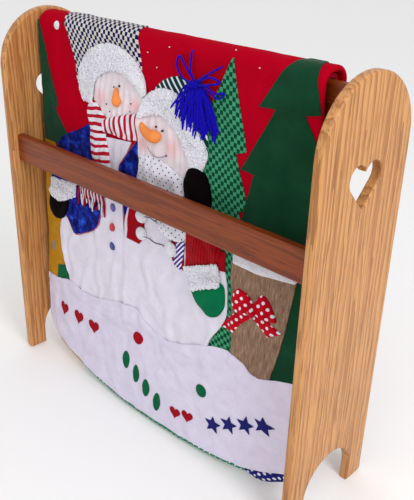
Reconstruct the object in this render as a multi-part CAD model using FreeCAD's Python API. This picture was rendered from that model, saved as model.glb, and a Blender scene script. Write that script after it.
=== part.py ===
import FreeCAD, Part
import math
import os

# A free-standing oak quilt rack with a padded applique quilt hung double over its top rail.
# Millimetres. Origin on the floor, midway between the end panels; +X along the rails,
# -Y to the front, +Z up.

V = FreeCAD.Vector

# ---- Rack: driving dimensions ----
panel_height = 815.0
panel_depth = 236.0
panel_thickness = 19.0
inner_length = 803.0
panel_edge_radius = 5.0
foot_width = 47.0
foot_corner_radius = 9.0
arch_leg_height = 40.0
heart_lobe_radius = 22.0
heart_lobe_spacing = 41.0
heart_lobe_drop = 161.0
heart_tip_drop = 54.0
heart_edge_radius = 3.5
rail_height = 60.0
rail_thickness = 19.0
rail_edge_radius = 5.0
top_rail_drop = 27.0
side_rail_drop = 263.0
side_rail_setback = 16.5
dowel_diameter = 8.0
dowel_in_panel = 12.0
dowel_in_rail = 28.0
dowel_spacing = 32.0
dowel_glue_gap = 0.05
dowel_end_gap = 1.0

# ---- Quilt: driving dimensions ----
layer_thickness = 11.0
rail_clearance = 0.3
quilt_left_gap = 7.5
quilt_right_gap = 53.5
flap_to_rail_gap = 27.5
flap_end_lean = 34.0
front_hem_height = 9.0
under_layer_lift = 10.0
border_thickness = 6.0
border_turn_up = 76.0
back_hang = 603.0
flat_patch = 2.0
felt_patch = 3.0
padded_patch = 6.0
fleece_patch = 9.0
stuffed_patch = 12.0
smallest_scrap = 20.0
picture_half = 371.0      # the pattern's own half width and fold height, stretched to the cloth
picture_fold = 783.0

# ---- Worked out from the driving dimensions ----
panel_half_depth = panel_depth / 2
rail_half = rail_thickness / 2
top_rail_top = panel_height - top_rail_drop
side_rail_top = panel_height - side_rail_drop
side_rail_y = panel_half_depth - side_rail_setback - rail_half
quilt_width = inner_length - quilt_left_gap - quilt_right_gap
quilt_half = quilt_width / 2
quilt_centre = -inner_length / 2 + quilt_left_gap + quilt_half
under_face = rail_clearance
between_faces = under_face + layer_thickness
quilt_face = between_faces + layer_thickness
roll_inner_radius = rail_edge_radius   # so the cloth clears the rail's rounded edges all round
fold_height = top_rail_top - roll_inner_radius
rail_drop_share = (fold_height - (side_rail_top - rail_height)) / fold_height
rail_back_face = side_rail_y - rail_half
flap_mid_lean = (rail_back_face - flap_to_rail_gap - rail_half - quilt_face) / rail_drop_share
back_edge = fold_height - back_hang
picture_crest = picture_fold + roll_inner_radius + quilt_face + flat_patch


def save(name, shape):
    """Write one named sub-part."""
    shape.exportStep(os.path.join("parts", name + ".step"))


# ---------------------------------------------------------------- rack ----

def panel_outline():
    """Side view of an end panel: round head, straight sides, two feet and an arch between them."""
    half = panel_half_depth
    spring = panel_height - half
    foot = foot_corner_radius
    cut = foot * (1 - math.sqrt(0.5))
    arch = half - foot_width
    arch_top = arch_leg_height + arch
    edges = [
        Part.LineSegment(V(0, -half, foot), V(0, -half, spring)),
        Part.Arc(V(0, -half, spring), V(0, 0, panel_height), V(0, half, spring)),
        Part.LineSegment(V(0, half, spring), V(0, half, foot)),
        Part.Arc(V(0, half, foot), V(0, half - cut, cut), V(0, half - foot, 0)),
        Part.LineSegment(V(0, half - foot, 0), V(0, arch, 0)),
        Part.LineSegment(V(0, arch, 0), V(0, arch, arch_leg_height)),
        Part.Arc(V(0, arch, arch_leg_height), V(0, 0, arch_top), V(0, -arch, arch_leg_height)),
        Part.LineSegment(V(0, -arch, arch_leg_height), V(0, -arch, 0)),
        Part.LineSegment(V(0, -arch, 0), V(0, foot - half, 0)),
        Part.Arc(V(0, foot - half, 0), V(0, cut - half, cut), V(0, -half, foot)),
    ]
    return Part.Wire([edge.toShape() for edge in edges])


def heart_outline():
    """Heart: two lobes that cross at the notch, with straight sides tangent to them from the tip."""
    radius = heart_lobe_radius
    side = heart_lobe_spacing / 2
    centre = panel_height - heart_lobe_drop
    reach = math.hypot(side, heart_tip_drop)
    lean = math.asin(radius / reach) + math.atan2(side, heart_tip_drop)
    touch = math.sqrt(reach * reach - radius * radius)
    tip = V(0, 0, centre - heart_tip_drop)
    right = tip + V(0, touch * math.sin(lean), touch * math.cos(lean))
    left = V(0, -right.y, right.z)
    notch = V(0, 0, centre + math.sqrt(radius * radius - side * side))
    high = radius * math.sqrt(0.5)
    edges = [
        Part.LineSegment(tip, right),
        Part.Arc(right, V(0, side + high, centre + high), notch),
        Part.Arc(notch, V(0, -side - high, centre + high), left),
        Part.LineSegment(left, tip),
    ]
    return Part.Wire([edge.toShape() for edge in edges])


def face_edges(shape, x, inside):
    """Edges lying in the plane at x; inside picks those in (or out of) the heart's square."""
    low = panel_height - heart_lobe_drop - heart_tip_drop - 1
    high = panel_height - heart_lobe_drop + heart_lobe_radius + 1
    wide = heart_lobe_spacing / 2 + heart_lobe_radius + 1
    found = []
    for edge in shape.Edges:
        box = edge.BoundBox
        if abs(box.XMin - x) > 0.01 or abs(box.XMax - x) > 0.01:
            continue
        in_heart = box.ZMin > low and box.ZMax < high and box.YMax < wide and box.YMin > -wide
        if in_heart == inside:
            found.append(edge)
    return found


def end_panel(side):
    """One end panel; side is -1 for the left and +1 for the right."""
    inner = side * inner_length / 2
    outer = inner + side * panel_thickness
    low = min(inner, outer)
    slab = Part.Face(panel_outline()).extrude(V(panel_thickness, 0, 0))
    heart = Part.Face(heart_outline()).extrude(V(panel_thickness, 0, 0))
    panel = slab.cut(heart)
    for x in (0.0, panel_thickness):
        panel = panel.makeFillet(panel_edge_radius, face_edges(panel, x, False))
    for x in (0.0, panel_thickness):
        panel = panel.makeFillet(heart_edge_radius, face_edges(panel, x, True))
    panel.translate(V(low, 0, 0))
    for y, z in rail_places():
        for dowel_z in dowel_heights(z):
            hole = dowel_hole(dowel_in_panel, inner, side, y, dowel_z)
            panel = panel.cut(hole)
    return panel


def rail_places():
    """Centre of each rail's section: top, front, back."""
    top = top_rail_top - rail_height / 2
    side = side_rail_top - rail_height / 2
    return [(0.0, top), (-side_rail_y, side), (side_rail_y, side)]


def dowel_heights(z):
    """The two dowels at a rail's end, one above the other."""
    return [z - dowel_spacing / 2, z + dowel_spacing / 2]


def dowel_hole(depth, x, direction, y, z):
    """A blind bore for a dowel, starting at x."""
    radius = dowel_diameter / 2 + dowel_glue_gap
    return Part.makeCylinder(radius, depth + dowel_end_gap, V(x, y, z), V(direction, 0, 0))


def rail(y, z):
    """A board on edge between the panels, with rounded long edges and bored ends."""
    corner = V(-inner_length / 2, y - rail_half, z - rail_height / 2)
    board = Part.makeBox(inner_length, rail_thickness, rail_height, corner)
    long_edges = [edge for edge in board.Edges if edge.BoundBox.XLength > inner_length / 2]
    board = board.makeFillet(rail_edge_radius, long_edges)
    for side in (-1, 1):
        for dowel_z in dowel_heights(z):
            board = board.cut(dowel_hole(dowel_in_rail, side * inner_length / 2, -side, y, dowel_z))
    return board


def dowels(y, z):
    """The four dowels of one rail, two at each end."""
    length = dowel_in_panel + dowel_in_rail
    pins = []
    for side in (-1, 1):
        start = side * (inner_length / 2 + dowel_in_panel)
        for dowel_z in dowel_heights(z):
            pins.append(Part.makeCylinder(dowel_diameter / 2, length, V(start, y, dowel_z), V(-side, 0, 0)))
    return Part.makeCompound(pins)


# --------------------------------------------------------------- quilt ----
# The quilt's picture is laid out in its own millimetres: x from the middle of the folded
# quilt, h upwards from the floor line; it is stretched to the cloth's width and drop. The
# front flap leans forward from the fold by flap_end_lean at its sides and flap_mid_lean in
# the middle, both at the floor line, and is straight from top to bottom.

def bottom_bow(offset):
    """The arc that the front flap follows at the floor line, as far out as offset."""
    y = -rail_half - offset
    left = V(quilt_centre - quilt_half, y - flap_end_lean, 0)
    right = V(quilt_centre + quilt_half, y - flap_end_lean, 0)
    middle = V(quilt_centre, y - flap_mid_lean, 0)
    return left, middle, right


def front_leg(inner, outer):
    """The part of a layer in front of the rail, between two offsets from the rail's face."""
    ends = []
    for offset in (inner, outer):
        y = -rail_half - offset
        top_left = V(quilt_centre - quilt_half, y, fold_height)
        top_right = V(quilt_centre + quilt_half, y, fold_height)
        ends.append((top_left, top_right) + bottom_bow(offset))
    (in_l, in_r, low_in_l, low_in_m, low_in_r), (out_l, out_r, low_out_l, low_out_m, low_out_r) = ends
    top = Part.Wire([
        Part.makeLine(out_l, out_r),
        Part.makeLine(out_r, in_r),
        Part.makeLine(in_r, in_l),
        Part.makeLine(in_l, out_l),
    ])
    low = Part.Wire([
        Part.Arc(low_out_l, low_out_m, low_out_r).toShape(),
        Part.makeLine(low_out_r, low_in_r),
        Part.Arc(low_in_r, low_in_m, low_in_l).toShape(),
        Part.makeLine(low_in_l, low_out_l),
    ])
    return Part.makeLoft([low, top], True, True)


def fold_path(offset):
    """Half width, corner radius and corner centre of the path over the rail at an offset."""
    return rail_half + offset, roll_inner_radius + offset, rail_half - roll_inner_radius


def over_rail(inner, outer, edge_height):
    """The part of a layer that goes over the rail and down behind it to edge_height."""
    turn = math.sqrt(0.5)
    points = []
    for offset in (inner, outer):
        half, radius, centre = fold_path(offset)
        points.append({
            "front": V(0, -half, fold_height),
            "front_mid": V(0, -centre - radius * turn, fold_height + radius * turn),
            "front_top": V(0, -centre, fold_height + radius),
            "back_top": V(0, centre, fold_height + radius),
            "back_mid": V(0, centre + radius * turn, fold_height + radius * turn),
            "back": V(0, half, fold_height),
            "edge": V(0, half, edge_height),
        })
    low, high = points
    edges = [
        Part.Arc(high["front"], high["front_mid"], high["front_top"]).toShape(),
        Part.makeLine(high["front_top"], high["back_top"]),
        Part.Arc(high["back_top"], high["back_mid"], high["back"]).toShape(),
        Part.makeLine(high["back"], high["edge"]),
        Part.makeLine(high["edge"], low["edge"]),
        Part.makeLine(low["edge"], low["back"]),
        Part.Arc(low["back"], low["back_mid"], low["back_top"]).toShape(),
        Part.makeLine(low["back_top"], low["front_top"]),
        Part.Arc(low["front_top"], low["front_mid"], low["front"]).toShape(),
        Part.makeLine(low["front"], high["front"]),
    ]
    section = Part.Face(Part.Wire(edges))
    section.translate(V(quilt_centre - quilt_half, 0, 0))
    return section.extrude(V(quilt_width, 0, 0))


def cloth(inner, outer, edge_height):
    """A whole layer: front leg, fold over the rail, and back leg."""
    return front_leg(inner, outer).fuse(over_rail(inner, outer, edge_height)).removeSplitter()


def at(x, h):
    """A point of the quilt's picture, in the plane y = 0. Above the fold h is not stretched."""
    z = min(h, picture_fold) * fold_height / picture_fold + max(h - picture_fold, 0)
    return V(quilt_centre + x * quilt_half / picture_half, 0, z)


def polygon(points):
    """A straight-sided outline."""
    corners = [at(x, h) for x, h in points]
    return Part.Face(Part.makePolygon(corners + corners[:1]))


def blob(points):
    """A closed smooth outline through the points."""
    curve = Part.BSplineCurve()
    curve.interpolate(Points=[at(x, h) for x, h in points], PeriodicFlag=True)
    return Part.Face(Part.Wire(curve.toShape()))


def disc(x, h, radius):
    """A round outline."""
    return Part.Face(Part.Wire(Part.makeCircle(radius, at(x, h), V(0, -1, 0))))


def under_curve(points, top):
    """The outline between a smooth lower edge, running left to right, and a level top."""
    curve = Part.BSplineCurve()
    curve.interpolate([at(x, h) for x, h in points])
    left = at(points[0][0], top)
    right = at(points[-1][0], top)
    first = at(*points[0])
    last = at(*points[-1])
    return Part.Face(Part.Wire([
        curve.toShape(),
        Part.makeLine(last, right),
        Part.makeLine(right, left),
        Part.makeLine(left, first),
    ]))


def hem_line(lift):
    """The lower edge of the front flap: round at the left corner and rising to the right."""
    half = picture_half
    points = [(-half - 6, 160), (8 - half, 70), (50 - half, 40), (-246, 24), (-150, 10), (-60, 6)]
    points += [(90, 6), (190, 9), (270, 16), (half - 45, 28), (half + 8, 60)]
    return [(x, h + lift) for x, h in points]


def through(face, front):
    """A face of the picture carried right through the front (or the back) of the quilt."""
    reach = panel_depth
    if front:
        return face.extrude(V(0, -reach, 0))
    return face.extrude(V(0, reach, 0))


def overlap(space, tool, least):
    """What two solids share; a hair of tolerance is tried where the exact cut finds too little."""
    for tolerance in (0.0, 0.001, 0.01):
        shared = space.common([tool], tolerance)
        if shared.Volume > least:
            return shared
    return shared


def picture_layer(thickness, lift):
    """The space that a patch of this thickness can take, lift away from the quilt's face."""
    if (thickness, lift) not in picture_layers:
        base = quilt_face + lift
        picture_layers[thickness, lift] = cloth(base, base + thickness, back_edge)
    return picture_layers[thickness, lift]


def patch(face, thickness, lift=0.0, behind=None):
    """A patch lying on the quilt's face, with what of it goes over to the back."""
    space = picture_layer(thickness, lift)
    solid = overlap(space, through(face, True), 0.7 * face.Area * thickness)
    if behind is not None:
        solid = solid.fuse(overlap(space, through(behind, False), 0.5 * behind.Area * thickness))
    return solid.removeSplitter()


def heart_motif(x, h, size):
    """A small felt heart: two half-round lobes over two straight sides."""
    half = size / 2
    shoulder = h + size / 8
    notch = shoulder + size / 8
    edges = [
        Part.LineSegment(at(x, h - half), at(x + half, shoulder)),
        Part.Arc(at(x + half, shoulder), at(x + 0.6 * half, shoulder + half / 2), at(x, notch)),
        Part.Arc(at(x, notch), at(x - 0.6 * half, shoulder + half / 2), at(x - half, shoulder)),
        Part.LineSegment(at(x - half, shoulder), at(x, h - half)),
    ]
    return Part.Face(Part.Wire([edge.toShape() for edge in edges]))


def leaf_motif(x, h, size):
    """A small felt leaf: pointed at both ends."""
    wide = size / 4
    left = Part.Arc(at(x, h - size / 2), at(x - wide, h), at(x, h + size / 2)).toShape()
    right = Part.Arc(at(x, h + size / 2), at(x + wide, h), at(x, h - size / 2)).toShape()
    return Part.Face(Part.Wire([left, right]))


def star_motif(x, h, size):
    """A small five-pointed felt star."""
    points = []
    for corner in range(10):
        angle = math.pi / 2 + corner * math.pi / 5
        radius = size / 2 if corner % 2 == 0 else size / 4.4
        points.append((x + radius * math.cos(angle), h + radius * math.sin(angle)))
    return polygon(points)


def joined(faces):
    """Several outlines as one."""
    whole = faces[0]
    for face in faces[1:]:
        whole = whole.fuse(face)
    return whole.removeSplitter()


def outlines():
    """Every patch from the topmost down: name, outline, thickness, outline behind."""
    half = picture_half
    crest = picture_crest
    bow = joined([
        polygon([(242, 390), (257, 394), (279, 372), (276, 354), (240, 351), (235, 374)]),
        polygon([(299, 399), (318, 380), (329, 358), (289, 354), (277, 362)]),
        polygon([(281, 364), (272, 336), (245, 299), (240, 307), (214, 308), (224, 328), (244, 346)]),
        polygon([(281, 356), (325, 321), (345, 340), (342, 350), (311, 370), (287, 374)]),
        disc(281, 362, 10),
    ])
    vest = joined([
        polygon([(-48, 462), (-54, 395), (-28, 388), (-11, 402), (-4, 415), (-6, 455), (-15, 500), (-40, 500)]),
        polygon([(73, 435), (104, 439), (115, 400), (112, 385), (81, 404)]),
        polygon([(190, 457), (208, 457), (213, 418), (196, 411), (180, 415)]),
    ])
    beads = [(-119, 689), (-99, 694), (-139, 651), (-127, 641), (-65, 668), (-64, 653)]
    snow_edge = [(-half - 9, 205), (-317, 206), (-257, 226), (-177, 222), (-97, 246), (-17, 262), (23, 234)]
    snow_edge += [(88, 228), (163, 245), (213, 268), (258, 266), (308, 245), (343, 250), (half + 9, 268)]
    hem_top = hem_line(front_hem_height)
    snow = under_curve(hem_top, 400).cut(under_curve(snow_edge, 500))
    return [
        ("tall_snowman_nose", blob([(-123, 690), (-109, 683), (-96, 668), (-102, 657), (-115, 662), (-123, 676)]),
         stuffed_patch, None),
        ("tall_snowman_beads", joined([disc(x, h, 3) for x, h in beads]), felt_patch, None),
        ("round_snowman_nose", blob([(-34, 638), (-24, 640), (-11, 631), (5, 629), (19, 629), (28, 621),
                                     (21, 610), (6, 607), (-15, 614), (-33, 628)]), stuffed_patch, None),
        ("round_snowman_beads", joined([disc(11, 638, 3.5), disc(27, 635, 3.5)]), felt_patch, None),
        ("yarn_tassel", polygon([(92, 744), (116, 744), (141, 705), (167, 656), (139, 643), (100, 638),
                                 (70, 660), (76, 700)]), stuffed_patch, None),
        ("vest_pompoms", joined([disc(-16, 453, 17), disc(-17, 418, 16), disc(76, 415, 19)]),
         stuffed_patch, None),
        ("vest_cords", joined([polygon([(-2, 463), (39, 459), (39, 456), (-2, 460)]),
                               polygon([(-2, 420), (60, 419), (60, 416), (-2, 417)])]), felt_patch, None),
        ("coat_buttons", joined([disc(-103, 450, 8.5), disc(-101, 406, 8.5), disc(-105, 365, 8.5)]),
         felt_patch, None),
        ("parcel_bow", bow, stuffed_patch, None),
        ("scarf_fringe", polygon([(-215, 455), (-135, 455), (-136, 430), (-151, 418), (-170, 428), (-215, 434)]),
         padded_patch, None),
        ("scarf_end", polygon([(-207, 620), (-196, 606), (-157, 597), (-135, 560), (-135, 455), (-215, 455),
                               (-196, 548)]), felt_patch, None),
        ("tall_hat_brim", blob([(-235, 707), (-204, 731), (-169, 754), (-132, 768), (-84, 765), (-35, 750),
                                (-27, 725), (-26, 700), (-67, 706), (-109, 720), (-176, 698), (-190, 672),
                                (-198, 650), (-209, 652), (-228, 675)]), fleece_patch, None),
        ("round_hat_brim", blob([(-36, 659), (-24, 697), (-9, 705), (28, 707), (61, 699), (116, 651), (140, 628),
                                 (145, 598), (134, 578), (103, 582), (90, 612), (65, 634), (17, 659), (-18, 663)]),
         fleece_patch, None),
        ("scarf_band", polygon([(-198, 650), (-184, 639), (-161, 625), (-139, 625), (-116, 632), (-77, 646),
                                (-40, 657), (-39, 607), (-53, 600), (-80, 595), (-108, 594), (-162, 595),
                                (-196, 608)]), felt_patch, None),
        ("tall_snowman_cuff", blob([(-325, 458), (-349, 428), (-346, 409), (-312, 398), (-273, 411), (-242, 440),
                                    (-270, 454)]), fleece_patch, None),
        ("tall_snowman_mitten", blob([(-349, 424), (-356, 404), (-347, 370), (-319, 357), (-287, 368),
                                      (-271, 396), (-262, 424), (-305, 440)]), padded_patch, None),
        ("sleeve_cuff", blob([(113, 390), (122, 388), (156, 398), (186, 420), (203, 389), (177, 360), (134, 346)]),
         fleece_patch, None),
        ("green_mitten", blob([(134, 352), (165, 370), (203, 389), (212, 369), (214, 350), (201, 319),
                               (178, 310), (151, 325)]), padded_patch, None),
        ("round_snowman_mitten", blob([(103, 583), (90, 570), (95, 558), (89, 540), (95, 505), (150, 500),
                                       (164, 537), (134, 577)]), padded_patch, None),
        ("red_sleeve", polygon([(100, 500), (112, 458), (111, 400), (120, 390), (156, 400), (186, 420),
                                (194, 456), (180, 500)]), padded_patch, None),
        ("kerchief", polygon([(-28, 573), (15, 574), (64, 566), (95, 549), (107, 470), (104, 441), (89, 438),
                              (35, 439), (33, 465), (-25, 520)]), felt_patch, None),
        ("red_vest", vest, felt_patch, None),
        ("jacket_left", polygon([(-202, 594), (-267, 566), (-294, 544), (-332, 490), (-327, 454), (-262, 430),
                                 (-273, 409), (-242, 340), (-201, 363), (-150, 393), (-138, 424), (-134, 455),
                                 (-134, 575), (-157, 597)]), felt_patch, None),
        ("jacket_right", polygon([(-40, 603), (-31, 586), (-25, 542), (-37, 500), (-48, 462), (-51, 399),
                                  (-62, 395), (-68, 427), (-74, 463), (-88, 543), (-65, 579), (-53, 600)]),
         felt_patch, None),
        ("striped_hat", blob([(-9, 700), (16, 726), (49, 738), (71, 741), (92, 733), (122, 705), (145, 665),
                              (149, 632), (130, 630), (61, 680)]), flat_patch, None),
        ("houndstooth_hat", polygon([(-289, crest), (-280, 794), (-265, 777), (-248, 754), (-236, 716), (-234, 700),
                                     (-109, 740), (-35, 740), (-38, 772), (-45, 794), (-70, crest)]),
         flat_patch, polygon([(-289, crest), (-70, crest), (-100, 770), (-180, 748), (-262, 765)])),
        ("tall_snowman_face", blob([(-198, 650), (-187, 690), (-109, 730), (-40, 712), (-24, 690), (-36, 655),
                                    (-57, 640), (-116, 622), (-161, 615), (-190, 630)]), padded_patch, None),
        ("round_snowman_face", blob([(-36, 659), (-18, 668), (37, 660), (90, 625), (108, 585), (98, 545),
                                     (64, 560), (15, 570), (-30, 570), (-40, 604), (-39, 640)]),
         padded_patch, None),
        ("snow_ground", snow, flat_patch, None),
        ("round_snowman_body", polygon([(-66, 400), (-54, 322), (-50, 220), (240, 220), (215, 300), (224, 332),
                                        (225, 355), (213, 418), (180, 480), (-20, 500), (-28, 560), (-45, 500)]),
         felt_patch, None),
        ("tall_snowman_body", polygon([(-160, 590), (-240, 450), (-286, 380), (-300, 333), (-296, 300),
                                       (-276, 255), (-252, 200), (-40, 200), (-54, 322), (-66, 400), (-70, 560),
                                       (-53, 600)]), felt_patch, None),
        ("parcel_cap", polygon([(221, 462), (361, 466), (361, 452), (352, 445), (323, 438), (265, 439),
                                (224, 444)]), padded_patch, None),
        ("burlap_parcel", polygon([(223, 446), (363, 452), (349, 314), (334, 240), (245, 240)]),
         felt_patch, None),
        ("checked_tree", polygon([(188, 797), (196, 754), (215, 705), (235, 650), (214, 642), (253, 548),
                                  (230, 545), (262, 440), (262, 250), (206, 262), (183, 255), (222, 318),
                                  (225, 335), (207, 456), (150, 470), (118, 560), (118, 640), (146, 700),
                                  (171, 749)]), flat_patch, None),
        ("plain_tree", polygon([(305, crest), (252, 729), (292, 741), (227, 619), (258, 621), (244, 585),
                                (253, 548), (222, 470), (260, 470), (300, 240), (half, 240), (half, 691),
                                (345, 734), (half, 740), (358, 783), (354, crest)]),
         flat_patch, polygon([(305, crest), (354, crest), (341, 795)])),
        ("gold_patch_button", blob([(-337, 271), (-330, 284), (-337, 297), (-344, 284)]), felt_patch, None),
        ("green_patch", polygon([(-313, 243), (-284, 252), (-262, 220), (-319, 200)]), felt_patch, None),
        ("gold_patch", polygon([(-half, 537), (-317, 537), (-293, 392), (-283, 263), (-313, 200), (-half, 195)]),
         flat_patch, None),
        ("left_tree", polygon([(-half, 790), (-357, 758), (-332, 688), (-303, 622), (-314, 614), (-271, 564),
                               (-297, 537), (-half, 537)]), flat_patch, None),
        ("sky_dot", disc(-306, 786, 8), felt_patch, None),
    ]


def touching(box, other):
    """Whether two faces' boxes meet."""
    return box.intersect(other)


def visible(face, above):
    """What of an outline the patches above it leave showing."""
    covers = [cover for cover in above if touching(face.BoundBox, cover.BoundBox)]
    seen = face.cut(covers) if covers else face
    scraps = [part for part in seen.Faces if part.Area > smallest_scrap]
    return Part.makeCompound(scraps)


def quilt_picture():
    """Cut every patch to what shows of it and lay it on the quilt."""
    above = []
    for name, face, thickness, behind in outlines():
        solids = []
        for part in visible(face, above).Faces:
            wrap = behind if behind is not None and part.BoundBox.ZMax > at(0, 800).z else None
            solids.extend(patch(part, thickness, behind=wrap).Solids)
        save(name, Part.makeCompound(solids))
        above.append(face)


def snow_motifs():
    """The felt shapes sewn on top of the snow."""
    hearts = [(-287, 138, 38), (-222, 142, 34), (-162, 145, 38), (118, 68, 30), (152, 76, 30)]
    leaves = [(-42, 116, 44), (-5, 104, 44), (30, 84, 44), (62, 64, 40)]
    stars = [(218, 94, 38), (254, 106, 40), (292, 122, 40), (330, 150, 40)]
    dots = [(-4, 190, 14), (181, 152, 14)]
    shapes = {
        "small_motifs_red": [heart_motif(*heart) for heart in hearts],
        "small_motifs_green": [leaf_motif(*leaf) for leaf in leaves],
        "small_motifs_navy": [star_motif(*star) for star in stars],
        "snow_dots": [disc(*dot) for dot in dots],
    }
    for name, faces in shapes.items():
        solids = []
        for face in faces:
            solids.extend(patch(face, flat_patch, lift=flat_patch).Solids)
        save(name, Part.makeCompound(solids))


def layers():
    """The two thicknesses of the folded quilt."""
    made = []
    for inner, lift in ((between_faces, 0.0), (under_face, under_layer_lift)):
        outline = under_curve(hem_line(front_hem_height + lift), 1000)
        least = 0.8 * quilt_width * fold_height * layer_thickness
        leg = overlap(front_leg(inner, inner + layer_thickness), through(outline, True), least)
        rest = over_rail(inner, inner + layer_thickness, back_edge + lift)
        made.append(leg.fuse(rest).removeSplitter())
    return made


def border(left, right, lower_edge):
    """A length of the quilt's border: round the bottom fold and turned up behind both layers."""
    strip = polygon([(left, 0), (right, 0), (right, border_turn_up), (left, border_turn_up)])
    above_layers = under_curve(hem_line(front_hem_height), 1000)
    turned = strip.common(under_curve(lower_edge, 1000))
    fold = turned.cut(above_layers)
    back = front_leg(under_face - border_thickness, under_face)
    behind = overlap(back, through(turned, True), 0.9 * turned.Area * border_thickness)
    bottom = front_leg(under_face, quilt_face)
    below = overlap(bottom, through(fold, True), 0.9 * fold.Area * (quilt_face - under_face))
    return behind.fuse(below).removeSplitter()


def main():
    os.makedirs("parts", exist_ok=True)
    save("left_end_panel", end_panel(-1))
    save("right_end_panel", end_panel(1))
    for name, (y, z) in zip(("top_rail", "front_rail", "back_rail"), rail_places()):
        save(name, rail(y, z))
        save(name + "_dowels", dowels(y, z))
    outer, inner = layers()
    save("quilt_outer_layer", outer)
    save("quilt_under_layer", inner)
    loose_corner = [(275, 17), (300, 18), (332, 16), (350, 25), (picture_half + 9, 52)]
    save("border_gold", border(-picture_half, -215, hem_line(0)))
    save("border_green", border(-215, 300, hem_line(0)))
    save("border_navy", border(300, picture_half, loose_corner))
    quilt_picture()
    snow_motifs()


picture_layers = {}
main()
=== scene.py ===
import math

import bpy
import numpy as np
from bpy.props import FloatProperty, FloatVectorProperty, IntProperty, PointerProperty
from mathutils import Matrix, Vector


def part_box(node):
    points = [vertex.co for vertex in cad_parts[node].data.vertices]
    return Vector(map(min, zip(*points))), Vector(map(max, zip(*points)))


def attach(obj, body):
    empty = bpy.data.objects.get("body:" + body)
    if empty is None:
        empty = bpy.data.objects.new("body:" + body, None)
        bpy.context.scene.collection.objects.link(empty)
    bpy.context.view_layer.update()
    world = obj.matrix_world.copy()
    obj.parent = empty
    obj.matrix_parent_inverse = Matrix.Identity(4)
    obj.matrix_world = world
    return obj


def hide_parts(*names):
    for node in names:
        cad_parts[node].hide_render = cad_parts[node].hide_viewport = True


bl_info = {
    "name": "Applique Quilt on a Rack",
    "version": (1, 0, 0),
    "blender": (4, 5, 0),
    "location": "3D View > Sidebar > Quilt",
    "description": "Dresses the packed quilt rack in oak and lays the snowman quilt over it",
    "category": "Object",
}

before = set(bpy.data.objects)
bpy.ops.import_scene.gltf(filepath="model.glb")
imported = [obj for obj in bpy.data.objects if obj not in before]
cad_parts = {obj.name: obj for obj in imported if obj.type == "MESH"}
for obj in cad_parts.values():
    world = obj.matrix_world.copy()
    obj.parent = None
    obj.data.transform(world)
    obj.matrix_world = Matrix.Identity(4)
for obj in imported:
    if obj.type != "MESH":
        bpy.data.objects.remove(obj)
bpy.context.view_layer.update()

# ------------------------------------------------------------ places, in mm
MM = 0.001
CLOTH_LOW, CLOTH_HIGH = (np.array(corner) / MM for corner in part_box("quilt_outer_layer"))
RAIL_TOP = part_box("top_rail")[1][2] / MM
MIDDLE = (CLOTH_LOW[0] + CLOTH_HIGH[0]) / 2
HALF_WIDTH = (CLOTH_HIGH[0] - CLOTH_LOW[0]) / 2
HALF_FOLD = CLOTH_HIGH[1]
RAIL_ROUND = 5.0                 # radius of the rail's edges, where the cloth starts to turn
FOLD = RAIL_TOP - RAIL_ROUND
ROLL = CLOTH_HIGH[2] - FOLD
FLAT_TOP = 2 * (HALF_FOLD - ROLL)
BACK_START = FOLD + math.pi * ROLL + FLAT_TOP
BACK_FLAP = 603.0                # how far the quilt hangs behind, measured from the fold
BACK_EDGE = BACK_START + BACK_FLAP
END_LEAN, MID_LEAN = 34.0, 62.4  # how far the front flap stands forward at the floor line
DRAWN_FROM, DRAWN_WIDTH = 330.0, 41.0
DRAWN_DROP = 250.0               # height over which the side strips are drawn over
LEFT_DRAW, RIGHT_DRAW = 11.0, 18.0
HEM = [(-386, 200), (-363, 80), (-320, 48), (-245, 32), (-150, 20), (-60, 15), (90, 15), (190, 18),
       (270, 25), (325, 37), (380, 70)]


def linear(value):
    """An sRGB hex colour as linear red, green and blue."""
    channels = [(value >> shift & 255) / 255 for shift in (16, 8, 0)]
    return [c / 12.92 if c <= 0.04045 else ((c + 0.055) / 1.055) ** 2.4 for c in channels]


# -------------------------------------------------------------- settings
def length(name, description, metres):
    return FloatProperty(name=name, description=description, default=metres, unit="LENGTH")


def swatch(name, description, colour):
    return FloatVectorProperty(name=name, description=description, subtype="COLOR", default=linear(colour))


class QuiltSizes(bpy.types.PropertyGroup):
    """Sizes that a maker would change."""
    dent_depth: length("Dent Depth", "How deep the soft dents in the padding are", 0.0016)
    pile_length: length("Pile Length", "Length of the fleece's tufts", 0.0042)
    check_size: length("Check Size", "One repeat of the small checks in the hat and the tree", 0.0148)
    stripe_size: length("Stripe Size", "One red and one white stripe of the scarf", 0.0150)
    yarn_count: IntProperty(name="Yarn Strands", description="Strands in the hat's tassel",
                            default=70, min=10)


class QuiltColours(bpy.types.PropertyGroup):
    """Colours of the cloths and the wood."""
    crimson: swatch("Sky", "The crimson ground cloth", 0xAA001C)
    snow: swatch("Snow", "White cotton of the snow", 0xD6CFE2)
    tree: swatch("Tree Green", "Deep green cotton", 0x0C3D25)
    velvet: swatch("Coat Blue", "Crushed velvet of the coat", 0x1A2C9A)
    yarn: swatch("Yarn Blue", "The tassel's wool", 0x160BA8)
    oak_light: swatch("Oak, Early Wood", "Pale part of the oak's grain", 0xC88F56)
    oak_dark: swatch("Oak, Late Wood", "Dark part of the oak's grain", 0x8A4E1C)


# ------------------------------------------------------------ the cloth's shape
def lean(x):
    """How far the front flap stands forward at the floor line: an arc over the quilt's width,
    END_LEAN at its sides and MID_LEAN in the middle."""
    rise = MID_LEAN - END_LEAN
    radius = (HALF_WIDTH ** 2 + rise ** 2) / (2 * rise)
    return END_LEAN + np.sqrt(radius ** 2 - np.clip(x, -HALF_WIDTH, HALF_WIDTH) ** 2) - (radius - rise)


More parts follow.
